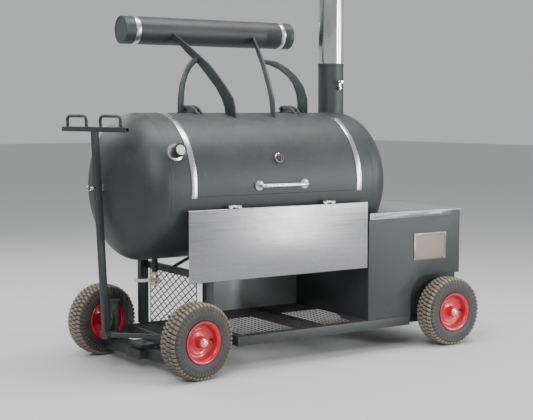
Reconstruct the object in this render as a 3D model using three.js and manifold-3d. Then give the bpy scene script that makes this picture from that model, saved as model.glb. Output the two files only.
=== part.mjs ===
// Offset smoker on four wheels: a domed steel drum with a counterweighted lid, a firebox under its
// right end, a chimney, a fold-up front shelf, a log deck and a steered front axle with a drawbar.
// Millimetres. X runs along the drum (firebox at +X), Y from front (-Y) to back (+Y), Z up from the
// ground. The drum axis lies in the plane Y = 0; X = 0 is halfway between the two axles.
import * as THREE from 'three';
import { mergeVertices } from 'three/addons/utils/BufferGeometryUtils.js';
import Module from 'manifold-3d';

const wasm = await Module();
wasm.setup();

// ---------------------------------------------------------------- driving dimensions
const GAP = 0.3;                 // clearance between neighbouring pieces

const DRUM_RADIUS = 381;         // 30 inch tank
const DRUM_WALL = 6;
const DRUM_Z = 950;              // height of the drum axis
const DRUM_LEFT = -920;          // left end of the straight shell
const DRUM_RIGHT = 355;          // right end of the straight shell
const DOME_DEPTH = 203;          // depth of each dished end

const LID_X = -270;              // middle of the lid, handle, arms and shelf
const LID_LENGTH = 1030;
const LID_LOW = -5.6;            // degrees above the drum's front line: lower lid edge
const LID_HIGH = 95.5;           // degrees: upper lid edge, just behind the top
const LID_GAP = 1.6;             // saw cut around the lid
const STRAP_WIDTH = 31;
const STRAP_THICK = 3;
const HINGE_Y = 50;              // lid hinge axis
const HINGE_RISE = 22;           // hinge axis above the drum top
const HINGE_FROM_END = 204;      // each hinge inside the end of the lid
const BRACE_FROM_END = 126;      // foot of each brace inside the end of the lid

const TUBE_RADIUS = 76.5;        // counterweight tube
const TUBE_LENGTH = 1094;
const TUBE_Y = 366;
const TUBE_RISE = 450;           // tube axis above the drum top
const ARM_THICK = 10;

const STACK_X = 330;
const STACK_RADIUS = 72;
const STACK_WALL = 3.5;
const DAMPER_RISE = 138;         // heights above the drum top
const STACK_JOINT_RISE = 278;    // painted pipe below, polished pipe above
const STACK_TOP_RISE = 819;

const SHELF_LENGTH = 1120;
const SHELF_DEPTH = 366;
const SHELF_THICK = 3;
const SHELF_PIN_OUT = 15;        // shelf pin in front of the drum
const SHELF_PIN_DROP = 93;       // and below its axis

const BOX_LEFT = 316;            // firebox
const BOX_RIGHT = 985;
const BOX_HALF = 380;            // half of its depth in Y
const BOX_LOW = 181;
const BOX_HIGH = 770;
const BOX_WALL = 5;
const WELL_LEFT = 620;           // wheel recess in the firebox sides
const WELL_HIGH = 404;
const WELL_HALF = 344;
const DOOR_WIDTH = 500;
const DOOR_HEIGHT = 380;
const DOOR_Z = 520;

const DECK_TOP = 180;
const RAIL = 50;                 // square tube of the deck
const DECK_LEFT = -850;
const DECK_WIDE_LEFT = -532;     // the deck is full width from here to the firebox
const NECK_HALF = 250;

const AXLE_X = 861;              // each axle from X = 0
const TRACK_HALF = 425;
const WHEEL_RADIUS = 195;
const TYRE_HALF = 62;
const STEER = 8.46;              // degrees the front axle stands turned at rest
const PIVOT_X = -256;            // drawbar pivot, ahead of the kingpin
const PIVOT_Z = 200;
const DRAWBAR_LEAN = 3;          // degrees the parked drawbar leans outwards
const DRAWBAR_LENGTH = 1050;
const CROSSBAR_LENGTH = 576;

const GRATE_DROP = 66;           // cooking grates below the drum axis
const GRATE_CLEAR = 17;          // from the grate edge to the drum wall
const VALVE_DROP = 109;          // drain valve below the drum

const MIDDLE_SHIFT = 83.98;          // moves the whole object so X = 0 is the middle of its length

// ---------------------------------------------------------------- heights and places that follow
const drumTop = DRUM_Z + DRUM_RADIUS;
const drumBottom = DRUM_Z - DRUM_RADIUS;
const hingeZ = drumTop + HINGE_RISE;
const hingeSpread = LID_LENGTH / 2 - HINGE_FROM_END;
const tubeZ = drumTop + TUBE_RISE;
const damperZ = drumTop + DAMPER_RISE;
const stackJointZ = drumTop + STACK_JOINT_RISE;
const stackTopZ = drumTop + STACK_TOP_RISE;
const shelfPinY = -DRUM_RADIUS - SHELF_PIN_OUT;
const shelfPinZ = DRUM_Z - SHELF_PIN_DROP;
const stackHoleRadius = STACK_RADIUS - 8;
const grateZ = DRUM_Z - GRATE_DROP;
const halfWidthInside = (drop) => Math.sqrt((DRUM_RADIUS - DRUM_WALL) ** 2 - drop ** 2);
const grateHalf = Math.round(halfWidthInside(GRATE_DROP) - GRATE_CLEAR);

// ---------------------------------------------------------------- colours
const BLACK = [0x2c302f, 0.62, 0.55];
const DARK = [0x232625, 0.7, 0.5];
const STEEL = [0xb9bcbd, 0.32, 0.95];
const CHROME = [0xdddddd, 0.12, 1.0];
const BRASS = [0xc8b48a, 0.35, 0.9];
const RUBBER = [0x6d6558, 0.9, 0.0];
const RED = [0xc01828, 0.35, 0.2];

// ---------------------------------------------------------------- solids
const rad = (degrees) => degrees * Math.PI / 180;

// Turns a three.js geometry into a closed solid that can be cut and joined.
function solid(geometry) {
  const bare = geometry.clone();
  bare.deleteAttribute('normal');
  bare.deleteAttribute('uv');
  const merged = mergeVertices(bare, 1e-3);
  const at = merged.getAttribute('position').array;
  const index = merged.getIndex().array;
  const corners = [];
  let volume = 0;
  const point = (i) => new THREE.Vector3(at[3 * i], at[3 * i + 1], at[3 * i + 2]);
  for (let i = 0; i < index.length; i += 3) {
    const [a, b, c] = [index[i], index[i + 1], index[i + 2]];
    if (a === b || b === c || a === c) continue;
    volume += point(a).dot(point(b).cross(point(c)));
    corners.push([a, b, c]);
  }
  const triangles = corners.flatMap(([a, b, c]) => (volume > 0 ? [a, b, c] : [a, c, b]));
  return new wasm.Manifold(new wasm.Mesh({
    numProp: 3, vertProperties: new Float32Array(at), triVerts: new Uint32Array(triangles),
  }));
}

const join = (...solids) => solids.reduce((whole, piece) => whole.add(piece));
const cut = (whole, ...tools) => tools.reduce((rest, tool) => rest.subtract(tool), whole);

function shapeOf(body) {
  const mesh = body.getMesh();
  const geometry = new THREE.BufferGeometry();
  geometry.setAttribute('position', new THREE.BufferAttribute(new Float32Array(mesh.vertProperties), 3));
  geometry.setIndex(new THREE.BufferAttribute(new Uint32Array(mesh.triVerts), 1));
  const flat = geometry.toNonIndexed();
  flat.computeVertexNormals();
  return flat;
}

function part(name, body, [color, roughness, metalness]) {
  const mesh = new THREE.Mesh(shapeOf(body),
    new THREE.MeshStandardMaterial({ color, roughness, metalness }));
  mesh.name = name;
  return mesh;
}

// Box given by its low and high corners.
function block(x0, x1, y0, y1, z0, z1) {
  const box = new THREE.BoxGeometry(x1 - x0, y1 - y0, z1 - z0);
  return solid(box.translate((x0 + x1) / 2, (y0 + y1) / 2, (z0 + z1) / 2));
}

// Round bar from one point to another.
function rod(from, to, radius, sides = 16) {
  const a = new THREE.Vector3(...from);
  const b = new THREE.Vector3(...to);
  const bar = new THREE.CylinderGeometry(radius, radius, a.distanceTo(b), sides);
  const turn = new THREE.Quaternion().setFromUnitVectors(
    new THREE.Vector3(0, 1, 0), b.clone().sub(a).normalize());
  bar.applyQuaternion(turn);
  const middle = a.add(b).multiplyScalar(0.5);
  return solid(bar.translate(middle.x, middle.y, middle.z));
}

// Flat bar of rectangular section between two points; `up` fixes its wide side.
function bar(from, to, width, height) {
  const a = new THREE.Vector3(...from);
  const b = new THREE.Vector3(...to);
  const box = new THREE.BoxGeometry(a.distanceTo(b), width, height);
  const along = b.clone().sub(a).normalize();
  const side = new THREE.Vector3(0, 0, 1).cross(along).normalize();
  const upward = along.clone().cross(side);
  box.applyMatrix4(new THREE.Matrix4().makeBasis(along, side, upward));
  const middle = a.add(b).multiplyScalar(0.5);
  return solid(box.translate(middle.x, middle.y, middle.z));
}

// Solid of revolution about the X axis through (y, z); profile as [x, radius] pairs.
function turnedAboutX(profile, sides, y, z, phase = 0) {
  const lathe = new THREE.LatheGeometry(
    profile.map(([x, r]) => new THREE.Vector2(r, x)), sides, phase, Math.PI * 2);
  lathe.applyMatrix4(new THREE.Matrix4().set(0, 1, 0, 0, 0, 0, 1, 0, 1, 0, 0, 0, 0, 0, 0, 1));
  return solid(lathe.translate(0, y, z));
}

// Flat outline of [a, b] points.
const outline = (points) => new THREE.Shape(points.map(([a, b]) => new THREE.Vector2(a, b)));

// Flat plate with holes, its outline drawn in two of the axes and its thickness along the third.
function plate(points, low, high, axes, holes = []) {
  const slab = (spots, from, to) => {
    const body = new THREE.ExtrudeGeometry(outline(spots), { depth: to - from, bevelEnabled: false });
    return solid(body.translate(0, 0, from).applyMatrix4(new THREE.Matrix4().set(...axes)));
  };
  return cut(slab(points, low, high), ...holes.map((hole) => slab(hole, low - 5, high + 5)));
}
const FROM_ABOVE = [1, 0, 0, 0, 0, 1, 0, 0, 0, 0, 1, 0, 0, 0, 0, 1];
const FROM_FRONT = [1, 0, 0, 0, 0, 0, 1, 0, 0, 1, 0, 0, 0, 0, 0, 1];
const FROM_END = [0, 0, 1, 0, 1, 0, 0, 0, 0, 1, 0, 0, 0, 0, 0, 1];
const plateFromAbove = (points, z0, z1, holes) => plate(points, z0, z1, FROM_ABOVE, holes);
const plateFromFront = (points, y0, y1, holes) => plate(points, y0, y1, FROM_FRONT, holes);
const plateFromEnd = (points, x0, x1, holes) => plate(points, x0, x1, FROM_END, holes);

// Hollow square tube along X (or along Y when `alongY` is set), open at both ends.
function squareTube(low, high, alongY, wall = 3) {
  const [x0, y0, z0] = low;
  const [x1, y1, z1] = high;
  const ring = (a0, a1, b0, b1, inset) => [
    [a0 + inset, b0 + inset], [a1 - inset, b0 + inset], [a1 - inset, b1 - inset], [a0 + inset, b1 - inset]];
  return alongY
    ? plateFromFront(ring(x0, x1, z0, z1, 0), y0, y1, [ring(x0, x1, z0, z1, wall)])
    : plateFromEnd(ring(y0, y1, z0, z1, 0), x0, x1, [ring(y0, y1, z0, z1, wall)]);
}

// Round bar swept along a path of points with rounded corners.
function bentRod(points, radius, bend, steps, sides = 10) {
  const spots = points.map((p) => new THREE.Vector3(...p));
  const path = new THREE.CurvePath();
  let last = spots[0];
  for (let i = 1; i < spots.length - 1; i += 1) {
    const before = spots[i].clone().add(spots[i - 1].clone().sub(spots[i]).setLength(bend));
    const after = spots[i].clone().add(spots[i + 1].clone().sub(spots[i]).setLength(bend));
    path.add(new THREE.LineCurve3(last, before));
    path.add(new THREE.QuadraticBezierCurve3(before, spots[i], after));
    last = after;
  }
  path.add(new THREE.LineCurve3(last, spots[spots.length - 1]));
  const section = outline(Array.from({ length: sides }, (_, k) => [
    radius * Math.cos(rad(360 * k / sides)), radius * Math.sin(rad(360 * k / sides))]));
  return solid(new THREE.ExtrudeGeometry(section, { steps, extrudePath: path, bevelEnabled: false }));
}

// ---------------------------------------------------------------- drum and lid
// Half outline of the drum, dished at both ends; `inset` moves it inwards.
function drumProfile(inset, sides = 5) {
  const reach = DOME_DEPTH - inset;
  const radius = DRUM_RADIUS - inset;
  const dome = (centre, sign) => Array.from({ length: sides + 1 }, (_, k) => {
    const angle = rad(90 * k / sides);
    return [centre + sign * reach * Math.cos(angle), k === 0 ? 0 : radius * Math.sin(angle)];
  });
  return [...dome(DRUM_LEFT, -1), ...dome(DRUM_RIGHT, 1).reverse()];
}
const DRUM_SIDES = 48;
const drumBody = (inset) => turnedAboutX(drumProfile(inset), DRUM_SIDES, 0, DRUM_Z);
const drumOutside = drumBody(-GAP);
const drumShell = cut(drumBody(0), drumBody(DRUM_WALL));

// Wedge between two angles measured from the drum's front line over the top.
function wedge(x0, x1, low, high) {
  const far = DRUM_RADIUS * 1.6;
  const spot = (angle) => [-far * Math.cos(rad(angle)), DRUM_Z + far * Math.sin(rad(angle))];
  return plateFromEnd([[0, DRUM_Z], spot(low), spot((low + high) / 2), spot(high)], x0, x1);
}
const surfaceSpot = (angle, out) => [-(DRUM_RADIUS + out) * Math.cos(rad(angle)),
  DRUM_Z + (DRUM_RADIUS + out) * Math.sin(rad(angle))];

const lidLeft = LID_X - LID_LENGTH / 2;
const lidRight = LID_X + LID_LENGTH / 2;
const cutDegrees = LID_GAP / DRUM_RADIUS * 180 / Math.PI;
const lidPanel = drumShell.intersect(wedge(lidLeft, lidRight, LID_LOW, LID_HIGH));
const lidHole = wedge(lidLeft - LID_GAP, lidRight + LID_GAP, LID_LOW - cutDegrees, LID_HIGH + cutDegrees);

const throat = block(DRUM_RIGHT - 10, DRUM_RIGHT + 250, -180, 180, 596, 742);
const stackHole = rod([STACK_X, 0, DRUM_Z], [STACK_X, 0, drumTop + 120], stackHoleRadius, 32);
const DRAIN_X = -812;
const valveZ = drumBottom - VALVE_DROP;
const drainBore = rod([DRAIN_X, 0, valveZ + 20], [DRAIN_X, 0, drumBottom + 81], 12, 16);
const drainPipe = cut(rod([DRAIN_X, 0, valveZ + 38], [DRAIN_X, 0, drumBottom + 3], 16.5, 16), drumBody(3));
const drum = cut(join(drumShell, drainPipe), lidHole, throat, stackHole, drainBore);

// Curved strip lying on the drum, between two angles.
function strap(x0, x1, low, high) {
  const ring = cut(
    turnedAboutX([[x0, 0], [x0, DRUM_RADIUS + STRAP_THICK + 0.6], [x1, DRUM_RADIUS + STRAP_THICK + 0.6],
      [x1, 0]], DRUM_SIDES, 0, DRUM_Z),
    turnedAboutX([[x0 - 5, 0], [x0 - 5, DRUM_RADIUS + 0.6], [x1 + 5, DRUM_RADIUS + 0.6], [x1 + 5, 0]],
      DRUM_SIDES, 0, DRUM_Z));
  return ring.intersect(wedge(x0, x1, low, high));
}

// Arm plate standing upright on a slanted line over the lid; outline in distance, height above the drum.
function armPlate(points, base, tip) {
  const plate = new THREE.ExtrudeGeometry(outline(points), { depth: ARM_THICK, bevelEnabled: false });
  const along = new THREE.Vector3(tip[0] - base[0], tip[1] - base[1], 0).normalize();
  const upward = new THREE.Vector3(0, 0, 1);
  const across = along.clone().cross(upward);
  plate.translate(0, 0, -ARM_THICK / 2);
  plate.applyMatrix4(new THREE.Matrix4().makeBasis(along, upward, across));
  return solid(plate.translate(base[0], base[1], drumTop));
}
const MAIN_ARM = [[-36, -71], [-18, 25], [-3, 77], [48, 141], [101, 200], [166, 261], [245, 317],
  [311, 362], [425, 433], [450, 409], [385, 375], [338, 333], [245, 263], [179, 199], [115, 133],
  [76, 77], [54, 29], [40, -61]];
const BRACE_ARM = [[-31, -41], [-30, 72], [-9, 143], [32, 203], [84, 251], [147, 287], [240, 301],
  [240, 275], [189, 267], [132, 241], [84, 201], [53, 159], [34, 102], [28, 51], [28, -41]];
const tubeAt = (radius) => turnedAboutX([[LID_X - TUBE_LENGTH / 2, 0], [LID_X - TUBE_LENGTH / 2, radius],
  [LID_X + TUBE_LENGTH / 2, radius], [LID_X + TUBE_LENGTH / 2, 0]], 24, TUBE_Y, tubeZ);
const mainArmAt = (side, grow = 0) => cut(armPlate(MAIN_ARM, [LID_X + side * 130, -117 + grow],
  [LID_X + side * 259, 288 + grow]), drumOutside, tubeAt(TUBE_RADIUS + GAP));

function braceArmAt(side) {
  const main = armPlate(MAIN_ARM, [LID_X + side * 130, -117], [LID_X + side * 259, 288]);
  const clear = join(main, main.translate([0.5 * side, -0.16, 0]));
  const foot = LID_LENGTH / 2 - BRACE_FROM_END;
  const brace = armPlate(BRACE_ARM, [LID_X + side * foot, -18], [LID_X + side * 204.4, 116.5]);
  const pieces = cut(brace, drumOutside, clear).decompose();
  return pieces.sort((a, b) => b.volume() - a.volume())[0];
}

function bandAt(x) {
  return turnedAboutX([[x - 14, TUBE_RADIUS + GAP], [x - 14, TUBE_RADIUS + 1.8], [x + 14, TUBE_RADIUS + 1.8],
    [x + 14, TUBE_RADIUS + GAP], [x - 14, TUBE_RADIUS + GAP]], 24, TUBE_Y, tubeZ);
}

// Lid hinge: two half-moon ears on the lid with the bolt, one lug on the drum between them.
const hingeEar = (x0, x1) => plateFromEnd([[-72, drumTop - 71], [-78, drumTop + 3], [-62, drumTop + 19], [-30, drumTop + 33], [10, drumTop + 40],
  [52, drumTop + 40], [66, drumTop + 31], [68, drumTop + 19], [60, drumTop + 9], [46, drumTop + 7], [38, drumTop + 3], [30, drumTop - 71]], x0, x1);
function hingeEarsAt(x) {
  const foot = block(x - 21, x + 21, -72, 16, drumTop - 31, drumTop + 5);
  const bolt = rod([x - 24, HINGE_Y, hingeZ], [x + 24, HINGE_Y, hingeZ], 7, 12);
  const nearRear = block(x - 40, x + 40, 36, 90, drumTop - 131, drumTop + 5);
  return cut(join(hingeEar(x - 20, x - 10), hingeEar(x + 10, x + 20), foot), drumOutside, nearRear).add(bolt);
}
function hingeLugAt(x) {
  const lug = plateFromEnd([[42, drumTop - 71], [41, drumTop + 3], [38, drumTop + 17], [44, drumTop + 31], [56, drumTop + 31], [64, drumTop + 23],
    [100, drumTop - 1], [120, drumTop - 81]], x - 8, x + 8);
  return cut(join(lug, cut(block(x - 30, x + 30, 78, 118, drumTop - 51, drumTop + 3), lug)), drumOutside,
    rod([x - 40, HINGE_Y, hingeZ], [x + 40, HINGE_Y, hingeZ], 7.4, 12));
}

const lid = new THREE.Group();
const fixed = new THREE.Group();
fixed.add(part('cooking_drum', drum, BLACK));
lid.add(part('lid', lidPanel, BLACK));
lid.add(part('lid_strap_left', strap(lidLeft - 16, lidLeft + STRAP_WIDTH - 16, -6.6, 92), STEEL));
lid.add(part('lid_strap_right', strap(lidRight + 15 - STRAP_WIDTH, lidRight + 15, -6, 66), STEEL));
for (const [side, word] of [[-1, 'left'], [1, 'right']]) {
  lid.add(part('counterweight_arm_' + word, mainArmAt(side), BLACK));
  lid.add(part('brace_arm_' + word, braceArmAt(side), BLACK));
  lid.add(part('counterweight_band_' + word, bandAt(LID_X + side * (TUBE_LENGTH / 2 - 75)), STEEL));
  lid.add(part('lid_hinge_ears_' + word, hingeEarsAt(LID_X + side * hingeSpread), DARK));
  fixed.add(part('drum_hinge_lug_' + word, hingeLugAt(LID_X + side * hingeSpread), DARK));
}
const tubeHollow = turnedAboutX([[LID_X - TUBE_LENGTH / 2 + 8, 0], [LID_X - TUBE_LENGTH / 2 + 8, TUBE_RADIUS - 5],
  [LID_X + TUBE_LENGTH / 2 - 8, TUBE_RADIUS - 5], [LID_X + TUBE_LENGTH / 2 - 8, 0]], 24, TUBE_Y, tubeZ);
const fillHole = rod([LID_X + 400, TUBE_Y, tubeZ], [LID_X + 600, TUBE_Y, tubeZ], 12, 12);
lid.add(part('counterweight_tube', cut(tubeAt(TUBE_RADIUS), tubeHollow, fillHole), BLACK));

// Lid handle: bent bar with a round foot at each end.
const handleZ = DRUM_Z + 8;
const HANDLE_LEFT = LID_X - 134;
const HANDLE_RIGHT = LID_X + 150;
const handleOut = -DRUM_RADIUS - 43;
const handleFoot = (x) => rod([x, 21 - DRUM_RADIUS, handleZ], [x, -DRUM_RADIUS - 11, handleZ], 26, 24);
const handle = cut(join(
  bentRod([[HANDLE_LEFT, 6 - DRUM_RADIUS, handleZ], [HANDLE_LEFT, handleOut, handleZ],
    [HANDLE_RIGHT, handleOut, handleZ], [HANDLE_RIGHT, 6 - DRUM_RADIUS, handleZ]], 9.5, 22, 16, 10),
  handleFoot(HANDLE_LEFT), handleFoot(HANDLE_RIGHT)), drumOutside);
lid.add(part('lid_handle', handle, STEEL));

// Lid thermometer: a shallow round case, open at the front over the pointer.
function radialGroup(x, angle, tilt) {
  const place = new THREE.Group();
  const [y, z] = surfaceSpot(angle, 0);
  place.position.set(x, y, z);
  place.rotation.x = -rad(tilt);
  return place;
}
const THERMO_ANGLE = 22;
const thermo = radialGroup(LID_X + 3, THERMO_ANGLE, THERMO_ANGLE);
const dialCase = cut(rod([0, -0.5, 0], [0, -14, 0], 26, 28), rod([0, -6, 0], [0, -15, 0], 22, 28));
thermo.add(part('lid_thermometer', join(dialCase, rod([0, -5, 0], [0, -8, 0], 2, 12)), STEEL));
const pointer = cut(join(block(-1, 1, -10, -8.6, -5, 17), rod([0, -10, 0], [0, -8.6, 0], 3.4, 12)));
thermo.add(part('lid_thermometer_pointer', pointer, RED));
lid.add(thermo);

// Deep gauge beside the lid, on a bright ring cut to the drum.
const [gaugeY, gaugeZ] = surfaceSpot(28.5, 0);
const GAUGE_X = -874;
const gaugeAim = rad(16);
const gaugeSpot = (out) => [GAUGE_X, gaugeY - out * Math.cos(gaugeAim), gaugeZ + out * Math.sin(gaugeAim)];
fixed.add(part('side_gauge_ring', cut(rod(gaugeSpot(-30), gaugeSpot(20), 44, 28), drumOutside), STEEL));
fixed.add(part('side_gauge', join(rod(gaugeSpot(20.3), gaugeSpot(62), 31, 28),
  rod(gaugeSpot(60), gaugeSpot(76), 34, 28)), DARK));

// ---------------------------------------------------------------- inside the drum
const inside = drumBody(DRUM_WALL + GAP);
const slots = (x0, x1, y0, y1, count, bar) => Array.from({ length: count }, (_, k) => {
  const pitch = (y1 - y0 + bar) / count;
  const a = y0 + k * pitch;
  return [[x0, a], [x1, a], [x1, a + pitch - bar], [x0, a + pitch - bar]];
});
const grate = (x0, x1, half, z) => plateFromAbove([[x0, -half], [x1, -half], [x1, half], [x0, half]], z, z + 8,
  slots(x0 + 12, x1 - 12, -half + 12, half - 12, 14, 8));
fixed.add(part('cooking_grate_left', grate(-770, LID_X - 2, grateHalf, grateZ), DARK));
fixed.add(part('cooking_grate_right', grate(LID_X + 2, 225, grateHalf, grateZ), DARK));
const railAt = (side) => block(-800, 250, ...[side * (grateHalf - 22), side * (grateHalf + 28)].sort((a, b) => a - b),
  grateZ - 6, grateZ - GAP);
const railTies = [-790, -290, 230].map((x) => block(x, x + 14, 12 - grateHalf, grateHalf - 12, grateZ - 14, grateZ - 3));
fixed.add(part('grate_support', join(railAt(1), railAt(-1), ...railTies).intersect(inside), DARK));
const shieldZ = DRUM_Z - 164;
const shieldHalf = Math.round(halfWidthInside(164) - 47);
fixed.add(part('heat_deflector', block(-640, 330, -shieldHalf, shieldHalf, shieldZ, shieldZ + 4)
  .intersect(inside).add(block(318, 330, -shieldHalf + 40, shieldHalf - 40, shieldZ - 36, shieldZ + 2)), DARK));

// ---------------------------------------------------------------- chimney
const pipe = (z0, z1, radius, wall, sides = 24) => cut(rod([STACK_X, 0, z0], [STACK_X, 0, z1], radius, sides),
  rod([STACK_X, 0, z0 - 5], [STACK_X, 0, z1 + 5], radius - wall, sides));
const shaftHole = rod([STACK_X, -100, damperZ], [STACK_X, 100, damperZ], 5.8, 12);
fixed.add(part('chimney_base', cut(pipe(drumTop - 51, stackJointZ, STACK_RADIUS, STACK_WALL), drumOutside, shaftHole),
  BLACK));
fixed.add(part('chimney_top', pipe(stackJointZ + GAP, stackTopZ, STACK_RADIUS - 0.5, 2), CHROME));
const damperPlate = join(rod([STACK_X - 1.5, 0, damperZ], [STACK_X + 1.5, 0, damperZ], STACK_RADIUS - STACK_WALL - 4.5, 28),
  rod([STACK_X, -STACK_RADIUS - 12, damperZ], [STACK_X, STACK_RADIUS + 10, damperZ], 5, 12));
const damper = new THREE.Group();
const damperLever = join(block(STACK_X - 7, STACK_X + 7, -STACK_RADIUS - 17, -STACK_RADIUS - 11, damperZ - 8,
  damperZ + 44), rod([STACK_X, -STACK_RADIUS - 40, damperZ + 36], [STACK_X, -STACK_RADIUS - 16, damperZ + 36],
  8, 14));
damper.add(part('chimney_damper', join(damperPlate, damperLever), DARK));

// ---------------------------------------------------------------- drain valve
fixed.add(part('drain_valve_body', cut(join(rod([DRAIN_X, 0, valveZ - 36], [DRAIN_X, 0, valveZ + 37.6], 21, 12),
  rod([DRAIN_X, -34, valveZ], [DRAIN_X, 0, valveZ], 9, 12)),
rod([DRAIN_X, 0, valveZ - 40], [DRAIN_X, 0, valveZ + 40], 11, 12)), BRASS));
const drainLever = new THREE.Group();
drainLever.add(part('drain_valve_lever', join(rod([DRAIN_X, -34.4, valveZ], [DRAIN_X, -40, valveZ], 13, 14),
  block(DRAIN_X - 74, DRAIN_X, -40, -36, valveZ - 9, valveZ + 9),
  block(DRAIN_X - 138, DRAIN_X - 60, -43, -34, valveZ - 8, valveZ + 12)), STEEL));

// ---------------------------------------------------------------- front shelf
const shelfLeft = LID_X - SHELF_LENGTH / 2;
const shelfRight = LID_X + SHELF_LENGTH / 2;
const SHELF_TOP = shelfPinZ - 11;
const SHELF_FACE = shelfPinY - 6;
const SHELF_HINGES = [-560, 31];
const board = join(
  block(shelfLeft, shelfRight, SHELF_FACE, SHELF_FACE + SHELF_THICK, SHELF_TOP - SHELF_DEPTH, SHELF_TOP),
  ...[SHELF_TOP - SHELF_DEPTH, SHELF_TOP - SHELF_THICK].map((z) => block(shelfLeft, shelfRight, SHELF_FACE,
    SHELF_FACE + 16, z, z + SHELF_THICK)));
const shelf = new THREE.Group();
const knuckles = (x) => join(...[-1, 1].map((side) => join(
  rod([x + side * 14, shelfPinY, shelfPinZ], [x + side * 38, shelfPinY, shelfPinZ], 6, 12),
  block(Math.min(x + side * 14, x + side * 38), Math.max(x + side * 14, x + side * 38), shelfPinY - 6,
    shelfPinY - 3, SHELF_TOP - 1, shelfPinZ))));
shelf.add(part('front_shelf', join(board, ...SHELF_HINGES.map(knuckles)), STEEL));
SHELF_HINGES.forEach((x, k) => {
  const leaf = join(rod([x - 13.6, shelfPinY, shelfPinZ], [x + 13.6, shelfPinY, shelfPinZ], 6, 12),
    block(x - 13.6, x + 13.6, shelfPinY, 31 - DRUM_RADIUS, shelfPinZ, shelfPinZ + 6));
  fixed.add(part('shelf_hinge_' + (k ? 'right' : 'left'), cut(leaf, drumOutside), CHROME));
});

// ---------------------------------------------------------------- firebox
function wheelWell(side, clear) {
  const reach = WELL_LEFT - clear;
  const top = WELL_HIGH + clear;
  const corner = Array.from({ length: 6 }, (_, k) => [reach + 110 - 110 * Math.cos(rad(18 * k)),
    top - 110 + 110 * Math.sin(rad(18 * k))]);
  const span = [side * (WELL_HALF - clear), side * 500].sort((a, b) => a - b);
  return plateFromFront([[reach, 0], ...corner, [BOX_RIGHT + 50, top], [BOX_RIGHT + 50, 0]], ...span);
}
const boxBody = cut(block(BOX_LEFT, BOX_RIGHT, -BOX_HALF, BOX_HALF, BOX_LOW, BOX_HIGH),
  wheelWell(-1, 0), wheelWell(1, 0));
const boxInside = cut(block(BOX_LEFT + BOX_WALL, BOX_RIGHT - BOX_WALL, -BOX_HALF + BOX_WALL,
  BOX_HALF - BOX_WALL, BOX_LOW + BOX_WALL, BOX_HIGH - BOX_WALL), wheelWell(-1, BOX_WALL), wheelWell(1, BOX_WALL));
const doorLow = DOOR_Z - DOOR_HEIGHT / 2;
const doorHigh = DOOR_Z + DOOR_HEIGHT / 2;
const doorHole = block(BOX_RIGHT - 20, BOX_RIGHT + 20, -DOOR_WIDTH / 2 + 25, DOOR_WIDTH / 2 - 25,
  doorLow + 25, doorHigh - 25);
const ashHole = block(BOX_RIGHT - 20, BOX_RIGHT + 20, -200, 200, 194, 276);
const DOOR_PIN_X = BOX_RIGHT + 13;
const DOOR_PIN_Y = DOOR_WIDTH / 2 + 14;
const doorHinges = [doorLow + 60, doorHigh - 60];
const fixedKnuckle = (z) => join(rod([DOOR_PIN_X, DOOR_PIN_Y, z - 40], [DOOR_PIN_X, DOOR_PIN_Y, z], 8, 12),
  block(BOX_RIGHT - 2, DOOR_PIN_X, DOOR_PIN_Y, DOOR_PIN_Y + 8, z - 40, z));
const wallLine = BOX_RIGHT - BOX_WALL;
const behindWall = block(wallLine - GAP, BOX_RIGHT + 50, -500, 500, 0, 900);
const beforeWall = block(BOX_LEFT - 50, wallLine, -500, 500, 0, 900);
fixed.add(part('firebox', cut(boxBody, boxInside, behindWall, drumOutside), BLACK));
fixed.add(part('firebox_door_wall', join(cut(boxBody, beforeWall, doorHole, ashHole),
  ...doorHinges.map(fixedKnuckle)), BLACK));
fixed.add(part('firebox_top_plate', cut(block(BOX_LEFT + 4, BOX_RIGHT + 12, -BOX_HALF - 2, BOX_HALF + 2,
  BOX_HIGH + GAP, BOX_HIGH + 6), drumOutside), STEEL));
const stripScrews = [-1, 0, 1].map((k) => rod([600 + k * 240, -BOX_HALF - 7, 760],
  [600 + k * 240, -BOX_HALF - 3, 760], 5, 10));
fixed.add(part('firebox_edge_strip', join(
  plateFromFront([[BOX_LEFT + 4, 742], [900, 742], [925, 768], [925, 779], [BOX_LEFT + 4, 779]],
    -BOX_HALF - 5, -BOX_HALF - 2.4),
  block(BOX_LEFT + 4, 925, -BOX_HALF - 3, -BOX_HALF + 22, BOX_HIGH + 6.3, BOX_HIGH + 9), ...stripScrews), STEEL));
const plateScrews = [-1, 1].flatMap((a) => [-1, 1].map((b) => rod([755 + a * 112, -BOX_HALF - 6, 571 + b * 66],
  [755 + a * 112, -BOX_HALF - 3, 571 + b * 66], 4, 10)));
fixed.add(part('name_plate', join(plateFromFront([[632, 494], [872, 494], [880, 648], [640, 648]],
  -BOX_HALF - 3.5, -BOX_HALF - GAP), ...plateScrews), STEEL));

const door = new THREE.Group();
const doorFace = BOX_RIGHT + GAP;
const vents = [-60, 0, 60].map((y) => block(doorFace - 5, doorFace + 20, y - 14, y + 14, doorLow + 45,
  doorLow + 105));
const movingKnuckle = (z) => join(rod([DOOR_PIN_X, DOOR_PIN_Y, z + 0.4], [DOOR_PIN_X, DOOR_PIN_Y, z + 40], 8, 12),
  block(doorFace + 2, DOOR_PIN_X, DOOR_WIDTH / 2 - 4, DOOR_PIN_Y, z + 0.4, z + 40));
door.add(part('firebox_door', join(cut(block(doorFace, doorFace + 6, -DOOR_WIDTH / 2, DOOR_WIDTH / 2, doorLow,
  doorHigh), ...vents), ...doorHinges.map(movingKnuckle)), BLACK));
const slide = plateFromEnd([[-92, doorLow + 38], [92, doorLow + 38], [92, doorLow + 112], [-92, doorLow + 112]],
  doorFace + 6.3, doorFace + 9, [-60, 0, 60].map((y) => [[y - 14, doorLow + 45], [y + 14, doorLow + 45],
    [y + 14, doorLow + 105], [y - 14, doorLow + 105]]));
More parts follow.
